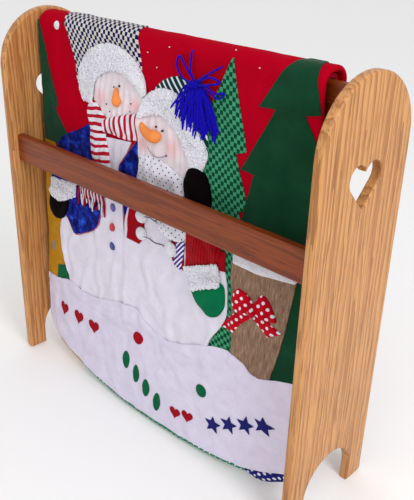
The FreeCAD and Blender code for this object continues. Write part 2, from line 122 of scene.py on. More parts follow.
def laid(x, v, lift):
    """The point at x across and v up the cloth, raised by lift, in metres. Below the fold the
    flap runs straight from the fold to its lean at the floor, its sides drawn over to the right;
    above it the path goes round a quarter turn, a short flat, another quarter turn and straight
    down the back."""
    x, v, lift = np.broadcast_arrays(*(np.asarray(a, float) for a in (x, v, lift)))
    drop = np.clip((FOLD - v) / DRAWN_DROP, 0, 1)
    left, right = (np.clip((side - DRAWN_FROM) / DRAWN_WIDTH, 0, 1) for side in (-x, x))
    x = x + drop * (LEFT_DRAW * left + RIGHT_DRAW * right)
    tilt = lean(x) / FOLD
    size = np.sqrt(1 + tilt ** 2)
    front_y = -HALF_FOLD - tilt * (FOLD - v) - lift / size
    front_z = v + lift * tilt / size
    run = v - FOLD
    quarter = ROLL * math.pi / 2
    turn = np.clip(run / ROLL, 0, math.pi / 2) + np.clip((run - quarter - FLAT_TOP) / ROLL, 0, math.pi / 2)
    flat = np.clip(run - quarter, 0, FLAT_TOP)
    hang = np.maximum(run - 2 * quarter - FLAT_TOP, 0)
    over_y = -FLAT_TOP / 2 + flat - (ROLL + lift) * np.cos(turn)
    over_z = FOLD + (ROLL + lift) * np.sin(turn) - hang
    front = v < FOLD
    y = np.where(front, front_y, over_y)
    z = np.where(front, front_z, over_z)
    return np.stack([x + MIDDLE, y, z], axis=-1) * MM


def waves(x, v, size, seed, count=9):
    """Smooth random swells about size across, from -1 to 1: the mean of sine waves in seeded
    directions."""
    rng = np.random.default_rng(seed)
    angle = rng.uniform(0, math.pi, count)
    number = 2 * math.pi / (size * rng.uniform(0.7, 1.5, count))
    phase = rng.uniform(0, 2 * math.pi, count)
    x, v = np.asarray(x, float)[..., None], np.asarray(v, float)[..., None]
    total = np.sin(number * (x * np.cos(angle) + v * np.sin(angle)) + phase).sum(axis=-1)
    return total / math.sqrt(count * 2)


def dents(x, v):
    """The padding's soft dents: broad and fine swells, calmer near the hem and over the fold."""
    depth = bpy.context.scene.quilt_sizes.dent_depth / MM
    calm = np.clip(np.abs(v - BACK_START / 2 - FOLD / 2) / 120, 0.25, 1)
    low = np.clip(np.asarray(v, float) / 150, 0.25, 1)
    swell = waves(x, v, 120, 3) + 0.55 * waves(x, v, 46, 5) + 0.2 * waves(x, v, 24, 6)
    return depth * calm * low * swell - 0.4


def curve(points, smooth):
    """A line through the points as a function of t from 0 to 1. Smooth lines are Catmull-Rom,
    each stretch a cubic through its ends with slopes from its neighbours."""
    knots = np.array(points, float)
    steps = np.linalg.norm(np.diff(knots, axis=0), axis=1)
    marks = np.concatenate([[0], np.cumsum(np.sqrt(steps) if smooth else steps)])
    marks /= marks[-1]
    slopes = np.gradient(knots, marks, axis=0) if smooth and len(knots) > 2 else None

    def at(t):
        t = np.asarray(t, float)
        if slopes is None:
            return np.stack([np.interp(t, marks, knots[:, k]) for k in range(knots.shape[1])], axis=-1)
        i = np.clip(np.searchsorted(marks, t, side="right") - 1, 0, len(marks) - 2)
        gap = (marks[i + 1] - marks[i])[..., None]
        u = (t - marks[i])[..., None] / gap
        start, end = knots[i], knots[i + 1]
        out, into = slopes[i] * gap, slopes[i + 1] * gap
        return ((2 * u ** 3 - 3 * u ** 2 + 1) * start + (u ** 3 - 2 * u ** 2 + u) * out
                + (3 * u ** 2 - 2 * u ** 3) * end + (u ** 3 - u ** 2) * into)

    return at


def hem(x):
    """Height of the front flap's lower edge at x."""
    line = curve(HEM, True)(np.linspace(0, 1, 600))
    return np.interp(x, line[:, 0], line[:, 1])


def between(first, second, smooth=True):
    """A patch's ground plan: s goes straight across from the first line to the second."""
    one, two = curve(first, smooth), curve(second, smooth)

    def plan(s, t):
        a, b = one(t), two(t)
        return a * (1 - s)[..., None] + b * s[..., None]

    return plan


def around(outline, smooth=True):
    """A round patch's ground plan: s goes out from the middle to the closed outline at t."""
    points = np.array(outline, float)
    area = np.sum(points[:, 0] * np.roll(points[:, 1], -1) - points[:, 1] * np.roll(points[:, 0], -1))
    points = points if area > 0 else points[::-1]
    middle = (points.min(axis=0) + points.max(axis=0)) / 2
    pad = 3 if smooth else 1
    loop = np.concatenate([points[-pad:] if smooth else points[:0], points, points[:pad]])
    line = curve(loop, smooth)
    dense = line(np.linspace(0, 1, 2400))
    if smooth:
        start = np.argmin(np.linalg.norm(dense[:1200] - points[0], axis=1))
        end = 1200 + np.argmin(np.linalg.norm(dense[1200:] - points[0], axis=1))
        dense = dense[start:end + 1]
    length = np.concatenate([[0], np.cumsum(np.linalg.norm(np.diff(dense, axis=0), axis=1))])

    def plan(s, t):
        edge = np.stack([np.interp(t * length[-1], length, dense[:, k]) for k in (0, 1)], axis=-1)
        return middle + (edge - middle) * s[..., None]

    return plan


def oval(x, v, wide, tall, turn=0, start=0, end=360):
    """An ellipse about (x, v), wide across and tall up, turned by turn degrees: the closed
    outline, or only the open line from start to end degrees."""
    angle = np.radians(np.linspace(start, end, 40, endpoint=end - start != 360))
    slant = math.radians(turn)
    across, up = wide / 2 * np.cos(angle), tall / 2 * np.sin(angle)
    return np.stack([x + across * math.cos(slant) - up * math.sin(slant),
                     v + across * math.sin(slant) + up * math.cos(slant)], axis=-1)


# ---------------------------------------------------- what lies on what
CELL = 3.0
SHAPE = (int(2 * HALF_WIDTH / CELL) + 6, int(BACK_EDGE / CELL) + 6)
ground = {"height": np.zeros(SHAPE)}


def cell(x, v):
    """The height map's row and column at a place on the cloth."""
    i = np.clip(((np.asarray(x) + HALF_WIDTH) / CELL + 3).astype(int), 0, SHAPE[0] - 1)
    j = np.clip((np.asarray(v) / CELL + 1).astype(int), 0, SHAPE[1] - 1)
    return i, j


def spread(field, pick):
    """Each cell combined with its eight neighbours by pick, which is a maximum or a mean."""
    rows = [np.roll(field, k, axis=0) for k in (-1, 0, 1)]
    wide = pick(rows, axis=0)
    return pick([np.roll(wide, k, axis=1) for k in (-1, 0, 1)], axis=0)


def bed(x, v):
    """Height of what already lies on the cloth, widened by a cell and smoothed."""
    smooth = spread(spread(spread(ground["height"], np.max), np.mean), np.mean)
    i = (np.asarray(x) + HALF_WIDTH) / CELL + 2.5
    j = np.asarray(v) / CELL + 0.5
    i = np.clip(i, 0, SHAPE[0] - 2.001)
    j = np.clip(j, 0, SHAPE[1] - 2.001)
    a, b = i.astype(int), j.astype(int)
    u, w = i - a, j - b
    return ((1 - u) * (1 - w) * smooth[a, b] + u * (1 - w) * smooth[a + 1, b]
            + (1 - u) * w * smooth[a, b + 1] + u * w * smooth[a + 1, b + 1])


def top_at(x, v):
    """Height of whatever lies at a place, with the dents below it."""
    return bed(x, v) + dents(x, v)


def crown(s, t, power_s, power_t, closed):
    """Height share of a patch: 1 in the middle, falling to 0 at its edge as a superellipse."""
    if closed:
        return (1 - s ** power_s).clip(0) ** (1 / power_s)
    across = (1 - np.abs(2 * s - 1) ** power_s).clip(0) ** (1 / power_s)
    along = (1 - np.abs(2 * t - 1) ** power_t).clip(0) ** (1 / power_t)
    return across * along


# ------------------------------------------------------------- meshes
def piece(name, points, faces, uv, material, slot, replaces=""):
    """A mesh object in place at the origin, riding on the quilt."""
    used, index = np.unique(np.concatenate([np.ravel(f) for f in faces]), return_inverse=True)
    split, start = [], 0
    for group in faces:
        group = np.asarray(group)
        split.extend(index[start:start + group.size].reshape(group.shape).tolist())
        start += group.size
    mesh = bpy.data.meshes.new(name)
    mesh.from_pydata(np.asarray(points)[used].tolist(), [], split)
    layer = mesh.uv_layers.new(name="cloth")
    corners = np.empty(len(mesh.loops), np.int32)
    mesh.loops.foreach_get("vertex_index", corners)
    layer.data.foreach_set("uv", np.asarray(uv, np.float32)[used][corners].ravel())
    mesh.polygons.foreach_set("use_smooth", np.ones(len(mesh.polygons), bool))
    mesh.materials.append(finishes[material])
    made = bpy.data.objects.new(name, mesh)
    bpy.context.scene.collection.objects.link(made)
    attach(made, "quilt")
    if replaces:
        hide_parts(replaces)
    return made


def quads(grid, flip=False):
    """Faces of a grid of vertex numbers."""
    a, b, c, d = grid[:-1, :-1], grid[1:, :-1], grid[1:, 1:], grid[:-1, 1:]
    order = (a, d, c, b) if flip else (a, b, c, d)
    return np.stack([corner.ravel() for corner in order], axis=-1)


def cloth_uv(x, v):
    """The cloth's own flat coordinates, in metres, kept positive."""
    x, v = np.broadcast_arrays(x, v)
    return np.stack([(x.ravel() + 500) * MM, v.ravel() * MM], axis=-1)


def shell(name, x, v, top, under, material, slot, replaces=""):
    """A closed flat piece: one sheet at height top, one at height under, sharing their rim."""
    count = x.size
    front = np.arange(count).reshape(x.shape)
    back = front + count
    back[0], back[-1], back[:, 0], back[:, -1] = front[0], front[-1], front[:, 0], front[:, -1]
    points = np.concatenate([laid(x, v, top).reshape(-1, 3), laid(x, v, under).reshape(-1, 3)])
    uv = np.concatenate([cloth_uv(x, v)] * 2)
    return piece(name, points, [quads(front), quads(back, True)], uv, material, slot, replaces)


def declared(made, x, v, height, slot, fill):
    """Hands the patch back as it is."""
    return made


def lay(name, plan, height, material, slot, closed=False, grid=(36, 36), edge=3.0, power=None,
        relief=None, replaces="", fill=None):
    """Lays a patch on whatever is there: its plan gives (x, v) for s and t, its height follows
    the crown, relief(x, v) adds to it, and the height map then holds its top. A closed patch
    goes out from its middle; the others go from side to side and end to end."""
    def mapped(rows, columns):
        k = np.linspace(0, 1, rows)
        s = np.sin(k * math.pi / 2) if closed else 0.5 - 0.5 * np.cos(k * math.pi)
        m = np.linspace(0, 1, columns)
        t = m if closed else 0.5 - 0.5 * np.cos(m * math.pi)
        s, t = np.meshgrid(s, t, indexing="ij")
        place = plan(s, t)
        x = np.clip(place[..., 0], 0.6 - HALF_WIDTH, HALF_WIDTH - 0.6)
        v = np.clip(place[..., 1], hem(x) + 0.8, BACK_EDGE)
        ends = np.linalg.norm(place[-1] - place[0], axis=-1).mean() + 1
        sides = np.linalg.norm(place[:, -1] - place[:, 0], axis=-1).mean() + 1
        power_s = power or max(2.0, ends / edge)
        power_t = power or max(2.0, sides / edge)
        share = crown(s, t, power_s, power_t, closed)
        return x, v, share

    x, v, share = mapped(*grid)
    rest = bed(x, v)
    top = rest + 0.15 + height * share
    if relief is not None:
        top = top + relief(x, v) * share
    wave = dents(x, v)
    under = rest + wave
    many = mapped(max(grid[0] * 3, 120), max(grid[1] * 3, 160))
    swell = relief(many[0], many[1]) if relief is not None else 0.0
    high = bed(many[0], many[1]) + (height + swell) * many[2]
    np.maximum.at(ground["height"], cell(many[0], many[1]), high)
    if not closed:
        made = shell(name, x, v, top + wave, under, material, slot, replaces)
        return declared(made, x, v, height, slot, fill)
    whole = x, v
    columns = grid[1] - 1
    x, v, top, under, wave = (a[:, :-1] for a in (x, v, top, under, wave))
    front = np.arange(x.size).reshape(x.shape)
    front = np.concatenate([front, front[:, :1]], axis=1)
    front[0] = 0
    hub = x[:1, :1], v[:1, :1]
    points = np.concatenate([laid(x, v, top + wave).reshape(-1, 3), laid(*hub, under[:1, :1]).reshape(-1, 3)])
    uv = np.concatenate([cloth_uv(x, v), cloth_uv(*hub)])
    first = front[1]
    cap = np.stack([np.zeros(columns, int), first[:-1], first[1:]], axis=-1)
    last = front[-1]
    floor = np.stack([np.full(columns, x.size), last[1:], last[:-1]], axis=-1)
    made = piece(name, points, [cap, quads(front[1:]), floor], uv, material, slot, replaces)
    return declared(made, *whole, height, slot, fill)


def tube(lines, radius, sides=6, taper=0.6):
    """Round strands along lines of (x, v, lift) points, as arrays strands x steps x 3. Each is a
    ring of sides swept along its line, thinner at its ends, and closed there by a point."""
    strands, steps = lines.shape[:2]
    path = laid(lines[..., 0], lines[..., 1], lines[..., 2])
    along = np.gradient(path, axis=1)
    along /= np.linalg.norm(along, axis=-1, keepdims=True) + 1e-12
    side = np.cross(along, [0.0, -1.0, 0.2])
    side /= np.linalg.norm(side, axis=-1, keepdims=True) + 1e-12
    up = np.cross(side, along)
    k = np.linspace(0, 1, steps)
    thick = radius * MM * (1 - (1 - taper) * np.abs(2 * k - 1) ** 6)
    thick = np.broadcast_to(thick, (strands, steps)) if np.ndim(radius) == 0 else radius * MM
    turn = np.arange(sides) * 2 * math.pi / sides
    ring = (side[:, :, None] * np.cos(turn)[:, None] + up[:, :, None] * np.sin(turn)[:, None])
    body = path[:, :, None] + ring * thick[:, :, None, None]
    outward = along[:, [0, -1]] * np.array([-1.0, 1.0])[None, :, None]
    ends = path[:, [0, -1]] + outward * thick[:, [0, -1], None] * 0.6
    points = np.concatenate([body.reshape(-1, 3), ends.reshape(-1, 3)])
    number = np.arange(strands * steps * sides).reshape(strands, steps, sides)
    wrap = np.concatenate([number, number[:, :, :1]], axis=2)
    a, b, c, d = wrap[:, :-1, :-1], wrap[:, :-1, 1:], wrap[:, 1:, 1:], wrap[:, 1:, :-1]
    walls = np.stack([q.ravel() for q in (a, b, c, d)], axis=-1)
    tips = strands * steps * sides + np.arange(strands * 2).reshape(strands, 2)
    one, two = (np.broadcast_to(tips[:, end, None], (strands, sides)) for end in (0, 1))
    first = np.stack([one, wrap[:, 0, 1:], wrap[:, 0, :-1]], axis=-1)
    final = np.stack([two, wrap[:, -1, :-1], wrap[:, -1, 1:]], axis=-1)
    flat = np.repeat(lines[:, :, None, :2], sides, axis=2).reshape(-1, 2)
    tip_flat = lines[:, [0, -1], :2].reshape(-1, 2)
    both = np.concatenate([flat, tip_flat])
    uv = cloth_uv(both[:, 0], both[:, 1])
    return points, [walls, first.reshape(-1, 3), final.reshape(-1, 3)], uv


def strand_piece(name, lines, radius, material, slot, replaces=""):
    """Several strands as one piece."""
    return piece(name, *tube(np.asarray(lines, float), radius), material, slot, replaces)


def nubs(name, plan, count, seed):
    """Fleece curls: small domes scattered over a puffed patch, six-sided, with two rings and a
    tip, each leaning its own way. Their feet lie on the patch, found from the height map."""
    rng = np.random.default_rng(seed)
    size = bpy.context.scene.quilt_sizes.pile_length / MM
    t = rng.uniform(0, 1, count)
    s = rng.uniform(0.01, 0.99, count)
    place = plan(s, t)
    x, v = np.clip(place[:, 0], 5 - HALF_WIDTH, HALF_WIDTH - 5), place[:, 1]
    i, j = cell(x, v)
    foot = (np.minimum(ground["height"][i, j], bed(x, v)) + dents(x, v) - 0.9)[:, None]
    wide = size * rng.uniform(0.45, 0.8, count)
    high = wide * rng.uniform(0.7, 1.1, count)
    tilt = rng.uniform(0, 2 * math.pi, count)
    turn = np.arange(6) * math.pi / 3
    levels = ((1.0, 0.0, 0.0), (0.85, 0.65, 0.25), (0.0, 1.0, 0.5))
    places, uv = [], []
    for out, rise, slant in levels:
        ring = turn if out else turn[:1]
        px = x[:, None] + wide[:, None] * (out * np.cos(ring) + slant * np.cos(tilt)[:, None])
        pv = v[:, None] + wide[:, None] * (out * np.sin(ring) + slant * np.sin(tilt)[:, None])
        places.append(laid(px, pv, foot + high[:, None] * rise).reshape(-1, 3))
        uv.append(cloth_uv(px, pv))
    low = np.arange(count)[:, None] * 6 + np.arange(6)
    after = np.roll(low, -1, axis=1)
    up = 6 * count
    tip = 12 * count + np.broadcast_to(np.arange(count)[:, None], (count, 6))
    walls = np.stack([low, after, after + up, low + up], axis=-1).reshape(-1, 4)
    caps = np.stack([low + up, after + up, tip], axis=-1).reshape(-1, 3)
    faces = [walls, caps, low[:, ::-1]]
    return piece(name, np.concatenate(places), faces, np.concatenate(uv), "fleece", "white_fleece")


# ------------------------------------------------------------- materials
def add(tree, kind, inputs=None, **settings):
    """Adds a shader node; inputs are values, or sockets to link from, by socket name or number."""
    made = tree.nodes.new("ShaderNode" + kind)
    for key, value in settings.items():
        setattr(made, key, value)
    for key, value in (inputs or {}).items():
        if isinstance(value, bpy.types.NodeSocket):
            tree.links.new(value, made.inputs[key])
        else:
            made.inputs[key].default_value = value
    return made


def blank(name):
    """A new material with its node tree, shader and output."""
    material = bpy.data.materials.new(name)
    material.use_nodes = True
    tree = material.node_tree
    tree.nodes.clear()
    shader = add(tree, "BsdfPrincipled")
    add(tree, "OutputMaterial", {"Surface": shader.outputs[0]})
    return material, tree, shader


def flat(colour, share=1.0):
    """A colour with its alpha, from a hex number or linear channels, dimmed to its share."""
    channels = linear(colour) if isinstance(colour, int) else colour
    return (*(c * share for c in channels), 1.0)


def sums(tree, operation, *values):
    """Result of a maths node."""
    return add(tree, "Math", dict(enumerate(values)), operation=operation).outputs[0]


def ranged(tree, value, low, high, first, last):
    """A value's range from low to high, stretched to first and last."""
    return add(tree, "MapRange", {0: value, 1: low, 2: high, 3: first, 4: last}).outputs[0]


def noise(tree, place, scale, detail, **settings):
    """Cloudy value at a place."""
    inputs = {"Vector": place, "Scale": scale, "Detail": detail, **settings}
    return add(tree, "TexNoise", inputs).outputs[0]


def surface(tree, shader, tone, height, bump, values):
    """Colour, relief and constants of a material; bump is its strength and its depth in metres."""
    lift = add(tree, "Bump", {"Height": height, "Strength": bump[0], "Distance": bump[1]})
    tree.links.new(tone, shader.inputs["Base Color"])
    tree.links.new(lift.outputs[0], shader.inputs["Normal"])
    for key, value in values.items():
        shader.inputs[key].default_value = value


def mixed(tree, share, first, second, mode="MIX"):
    """Blend of two colours, each a socket or a value."""
    node = add(tree, "Mix", {0: share, 6: first, 7: second}, data_type="RGBA", blend_type=mode)
    return node.outputs[2]


def cloth(name, colour, thread=0.0016, bump=0.35, rough=0.95, sheen=0.04, mottle=0.12, mottle_size=0.03,
          crush=0.0):
    """A woven cloth. Colour is a value or a function of (tree, place) giving a socket. Threads
    cross at the given spacing, in metres; it is drawn coarser than real so that it shows."""
    material, tree, shader = blank(name)
    place = add(tree, "UVMap", uv_map="cloth").outputs[0]
    tone = colour(tree, place) if callable(colour) else flat(colour)
    shade = ranged(tree, noise(tree, place, 1 / mottle_size, 4.0), 0.3, 0.7, 1 - mottle, 1 + mottle)
    grey = add(tree, "CombineColor", {0: shade, 1: shade, 2: shade})
    tone = mixed(tree, 1.0, tone, grey.outputs[0], "MULTIPLY")
    parts = add(tree, "SeparateXYZ", {0: place})
    angles = [sums(tree, "MULTIPLY", parts.outputs[axis], 2 * math.pi / thread) for axis in (0, 1)]
    weave = sums(tree, "MULTIPLY", *(sums(tree, "SINE", angle) for angle in angles))
    crumple = noise(tree, place, 26.0, 3.0, Distortion=1.2)
    grain = sums(tree, "MULTIPLY_ADD", weave, 0.25, noise(tree, place, 700.0, 2.0))
    relief = sums(tree, "MULTIPLY_ADD", crumple, 6.0 + crush, grain)
    surface(tree, shader, tone, relief, (bump, 0.0008),
            {"Roughness": rough, "Sheen Weight": sheen, "Sheen Roughness": 0.45, "Specular IOR Level": 0.03})
    return material


def repeat(tree, socket, size):
    """Where a coordinate stands in its repeat, from 0 to 1."""
    return sums(tree, "FRACT", sums(tree, "MULTIPLY", socket, 1 / size))


def turned(tree, place, angle, shear=0.0):
    """The cloth's coordinates turned by an angle, then sheared."""
    spun = add(tree, "Mapping", {"Vector": place, "Rotation": (0, 0, angle)})
    parts = add(tree, "SeparateXYZ", {0: spun.outputs[0]})
    return sums(tree, "MULTIPLY_ADD", parts.outputs[1], shear, parts.outputs[0]), parts.outputs[1]


def checks(size, first, second, angle=0.0, shear=0.0):
    """Two colours in a small check, one repeat being two squares each way."""
    def colour(tree, place):
        parts = [repeat(tree, c, size) for c in turned(tree, place, angle, shear)]
        halves = [sums(tree, "GREATER_THAN", part, 0.5) for part in parts]
        which = sums(tree, "ABSOLUTE", sums(tree, "SUBTRACT", *halves))
        return mixed(tree, which, flat(first), flat(second))
    return colour


def stripes(size, share, first, second, angle=0.0, wander=0.0):
    """Stripes across x, the first colour taking its share of the repeat; wander bends them."""
    def colour(tree, place):
        across = turned(tree, place, angle)[0]
        moved = sums(tree, "MULTIPLY_ADD", noise(tree, place, 24.0, 1.0), wander, across)
        part = sums(tree, "LESS_THAN", repeat(tree, moved, size), share)
        return mixed(tree, part, flat(second), flat(first))
    return colour


def dots(size, radius, first, second):
    """Round dots of the second colour, one to each square repeat of the cloth on the bias."""
    def colour(tree, place):
        parts = [repeat(tree, c, size) for c in turned(tree, place, math.pi / 4)]
        centred = [sums(tree, "SUBTRACT", part, 0.5) for part in parts]
        both = add(tree, "CombineXYZ", dict(enumerate(centred)))
        away = add(tree, "VectorMath", {0: both.outputs[0]}, operation="LENGTH")
        return mixed(tree, sums(tree, "LESS_THAN", away.outputs[1], radius / size), flat(first), flat(second))
    return colour


def mottled(size, *tones, stretch=1.0):
    """Cloudy colour through several tones; stretch draws the clouds out up the cloth."""
    def colour(tree, place):
        drawn = add(tree, "Mapping", {"Vector": place, "Scale": (1.0, 1 / stretch, 1.0)})
        cloud = noise(tree, drawn.outputs[0], 1 / size, 6.0, Roughness=0.65)
        ramp = add(tree, "ValToRGB", {0: cloud})
        stops = ramp.color_ramp.elements
        for stop, place_on, tone in ((stops[0], 0.34, tones[0]), (stops[1], 0.68, tones[-1])):
            stop.position = place_on
            stop.color = flat(tone)
        for k, tone in enumerate(tones[1:-1]):
            stops.new(0.34 + 0.34 * (k + 1) / (len(tones) - 1)).color = flat(tone)
        return ramp.outputs[0]
    return colour


def blushed(colour, blush, *spots):
    """A face: the cloth's colour with round blushes at (x, v, radius), in mm on the cloth."""
    def painted(tree, place):
        tone = flat(colour)
        for x, v, radius in spots:
            away = add(tree, "VectorMath",
                       {0: place, 1: ((x + 500) * MM, v * MM, 0)}, operation="DISTANCE")
            limits = {0: away.outputs[1], 1: 0.0, 2: radius * MM, 3: 0.75, 4: 0.0}
            near = add(tree, "MapRange", limits, interpolation_type="SMOOTHSTEP")
            tone = mixed(tree, near.outputs[0], tone, flat(blush))
        return tone
    return painted


def oak(name, upright):
    """Flat-sawn oak under satin varnish: long cathedral bands of pale and dark wood, short dark
    pores along the grain, and a soft gloss. The grain runs upright or along X; along X, on the
    rails, the colour is darkened all over as painted shade."""
    colours = bpy.context.scene.quilt_colours
    material, tree, shader = blank(name)
    place = add(tree, "TexCoord").outputs["Object"]
    stretch = (60.0, 60.0, 3.2) if upright else (3.2, 70.0, 70.0)
    grain = add(tree, "Mapping", {"Vector": place, "Scale": stretch})
    swell = add(tree, "TexNoise", {"Vector": grain.outputs[0], "Scale": 0.55, "Detail": 3.0})
    bent = add(tree, "VectorMath", {0: swell.outputs[1], 3: 3.4}, operation="SCALE")
    moved = add(tree, "VectorMath", {0: grain.outputs[0], 1: bent.outputs[0]}, operation="ADD")
    bands = add(tree, "TexWave",
                {"Vector": moved.outputs[0], "Scale": 0.4, "Distortion": 1.5, "Detail": 2.0,
                 "Detail Scale": 0.8},
                wave_type="BANDS", bands_direction="Y", wave_profile="SAW")
    fine_stretch = (520.0, 520.0, 16.0) if upright else (16.0, 520.0, 520.0)
    fine = add(tree, "Mapping", {"Vector": place, "Scale": fine_stretch})
    pore = ranged(tree, noise(tree, fine.outputs[0], 1.0, 3.0, Roughness=0.6), 0.52, 0.64, 0.0, 1.0)
    ramp = add(tree, "ValToRGB", {0: bands.outputs[1]})
    for stop, colour in zip(ramp.color_ramp.elements, (colours.oak_light, colours.oak_dark)):
        stop.color = flat(colour)
    ramp.color_ramp.elements[0].position = 0.35
    soft = mixed(tree, 0.7, flat(colours.oak_light), ramp.outputs[0])
    tone = mixed(tree, sums(tree, "MULTIPLY", pore, 0.6), soft, flat(0x6B3A12))
    # painted shade: the rails' oak is multiplied darker all over, standing in for the dimmer light on their
    # faces
    if not upright:
        tone = mixed(tree, 1.0, tone, flat(0xAA6C2C), "MULTIPLY")
    surface(tree, shader, tone, sums(tree, "MULTIPLY", pore, -1.0), (0.25, 0.0004),
            {"Coat Weight": 0.1, "Specular IOR Level": 0.3, "Coat Roughness": 0.25})
    tree.links.new(ranged(tree, swell.outputs[0], 0.3, 0.7, 0.34, 0.46), shader.inputs["Roughness"])
    return material


def smooth(name, colour, rough, sheen=0.0):
    """A finish with faint cloudiness in its colour and gloss: moulded plastic, beads, thread."""
    material, tree, shader = blank(name)
    cloud = noise(tree, add(tree, "TexCoord").outputs["Object"], 140.0, 3.0)
    surface(tree, shader, mixed(tree, cloud, flat(colour), flat(colour, 0.75)), cloud, (0.2, 0.0003),
            {"Roughness": rough, "Sheen Weight": sheen})
    return material


def fleece_material(name, colour):
    """Sherpa fleece: matt white curls that scatter light, with painted shade greying the hollows between
    them.
    """
    material, tree, shader = blank(name)
    place = add(tree, "UVMap", uv_map="cloth").outputs[0]
    curl = add(tree, "TexVoronoi", {"Vector": place, "Scale": 320.0}).outputs[0]
    both = sums(tree, "MULTIPLY_ADD", curl, -0.8, noise(tree, place, 520.0, 4.0))
    shade = ranged(tree, both, -0.1, 0.7, 0.0, 1.0)
    # painted shade: the white falls to 0.72 of itself in the hollows between the curls
    surface(tree, shader, mixed(tree, shade, flat(colour, 0.72), flat(colour)), both, (0.8, 0.0012),
            {"Roughness": 1.0, "Sheen Weight": 0.4})
    return material


def make_materials():
    """Every cloth and finish of the object by a short name."""
    sizes, colours = bpy.context.scene.quilt_sizes, bpy.context.scene.quilt_colours
    white = 0xDEDCE6
    red = 0xB4041C
    navy = 0x1A1E5A
    skin = 0xDED2D8
    blush = 0xE0A8AA
    made = {
        # flat deep red of the ground, and a duller one behind it
        "sky": cloth("Crimson Wool Blend", colours.crimson, bump=0.22, sheen=0.0, mottle=0.07,
                     mottle_size=0.09),
        "lining": cloth("Crimson Cotton Back", 0x8C0018, bump=0.3, mottle=0.08),
        # cool whites, softly creased, with rosy cheeks on the faces and curly pile on the fleece, its hollows
        # greyed as painted shade
        "snow": cloth("White Quilted Cotton", colours.snow, bump=0.5, mottle=0.05, crush=5.0),
        "body": cloth("White Brushed Cotton", 0xDAD4E2, bump=0.5, mottle=0.04, crush=5.0),
        "tall_face": cloth("White Jersey, Blushed", blushed(skin, blush, (-150, 668, 28), (-44, 672, 26)),
                           bump=0.25, mottle=0.03),
        "round_face": cloth("White Jersey, Blushed Low", blushed(skin, blush, (-16, 606, 22), (66, 618, 30)),
                            bump=0.25, mottle=0.03),
        "fleece": fleece_material("White Sherpa Fleece", 0xF0EFF8),
        # greens: a faint sheen on the plain tree, small printed checks on the other and on the hat
        "tree": cloth("Green Cotton Sateen", colours.tree, bump=0.5, rough=0.7, sheen=0.1, mottle=0.18,
                      mottle_size=0.05),
        "check": cloth("Green Checked Cotton", checks(sizes.check_size, 0x06432C, 0x3F8F68, 0.12, 0.25),
                       bump=0.3),
        "hound": cloth("Navy and White Check", checks(sizes.check_size, 0x10124A, 0xC9C4BE, 0.05, 0.45),
                       bump=0.3),
        # stripes that wander with the hand-cut cloth
        "stripe_hat": cloth("Green Striped Cotton", stripes(0.0115, 0.66, 0x0A3430, white, -0.75), bump=0.3),
        "scarf": cloth("Red Striped Cotton", stripes(sizes.stripe_size, 0.46, 0xB3122B, white, 0.0, 0.010),
                       bump=0.4),
        "scarf_down": cloth("Red Striped Cotton, Crosswise",
                            stripes(sizes.stripe_size, 0.46, 0xB3122B, white, math.pi / 2 - 0.15, 0.010),
                            bump=0.4),
        # the turned border: mustard, and two cloths with pin dots
        "gold": cloth("Gold Cotton", 0xB4801A, bump=0.35),
        "navy_dot": cloth("Navy Dotted Cotton", dots(0.011, 0.0028, 0x20256E, white), bump=0.3),
        "green_dot": cloth("Green Dotted Cotton", dots(0.010, 0.0022, 0x117A55, white), bump=0.3),
        # near-black blue with bright crushed patches, and ribbed dark red
        "velvet": cloth("Crushed Blue Velvet", mottled(0.02, 0x020218, 0x0A1266, colours.velvet, 0x2A62D8),
                        bump=0.7, sheen=0.04, rough=0.85, crush=10.0),
        "corduroy": cloth("Red Corduroy", stripes(0.0066, 0.7, 0xA40816, 0x760612, 0.05), bump=0.6,
                          sheen=0.1),
        # matt felts in one colour each
        "red": cloth("Red Felt", 0x960A18, bump=0.5, sheen=0.05),
        "felt_green": cloth("Green Felt", 0x085C38, bump=0.5, sheen=0.05),
        "felt_navy": cloth("Navy Felt", 0x1E2266, bump=0.5, sheen=0.05),
        "black": cloth("Black Felt", 0x090406, bump=0.5, sheen=0.02, mottle=0.2),
        "mitten": cloth("Green Fleece Cloth", 0x046A42, bump=0.4, sheen=0.05),
        "orange": cloth("Orange Cotton", 0xE58A4A, bump=0.3, mottle=0.05),
        # dots on white and on red, coarse brown sacking, a striped ribbon
        "kerchief": cloth("White Dotted Cotton", dots(0.0105, 0.0015, white, navy), bump=0.35),
        "bow": cloth("Red Dotted Satin", dots(0.0135, 0.0031, red, white), bump=0.4, rough=0.6),
        "burlap": cloth("Burlap", mottled(0.003, 0x72584A, 0x8E705C, 0xA68C76, stretch=8.0), thread=0.0032,
                        bump=1.0, mottle=0.15, rough=0.95),
        "ribbon": cloth("Purple Striped Ribbon", stripes(0.007, 0.55, 0x3A2A86, white, 0.7), bump=0.3),
        # wool: saturated and slightly uneven
        "yarn": cloth("Blue Wool Yarn", colours.yarn, thread=0.0028, bump=1.0, sheen=0.05, mottle=0.3,
                      mottle_size=0.004),
        "fringe_red": cloth("Red Wool", 0xA30E26, bump=0.8),
        "fringe_white": cloth("White Wool", white, bump=0.8),
        # threads, glossy beads and half-gloss buttons
        "thread": smooth("Black Cotton Thread", 0x1A1512, 0.8),
        "smile": smooth("Grey Cotton Thread", 0x8E8288, 0.8),
        "red_thread": smooth("Red Blanket Stitch", 0xA3142E, 0.8, 0.3),
        "bead": smooth("Black Glass Bead", 0x050406, 0.15),
        "button_grey": smooth("Grey Moulded Button", 0x857A84, 0.35),
        "button_purple": smooth("Purple Moulded Button", 0x5A4FA0, 0.35),
        "button_red": smooth("Red Moulded Button", 0xC2182C, 0.35),
        "button_navy": smooth("Navy Moulded Button", 0x22358F, 0.35),
        # honey oak with dark pores; the rails' oak darkened all over as painted shade
        "oak_upright": oak("Oak Board, Upright Grain", True),
        "oak_along_shaded": oak("Oak Board, Long Grain, Painted Shade", False),
        "dowel": smooth("Beech Dowel", 0xD2B285, 0.6),
    }
    return made


finishes = {}


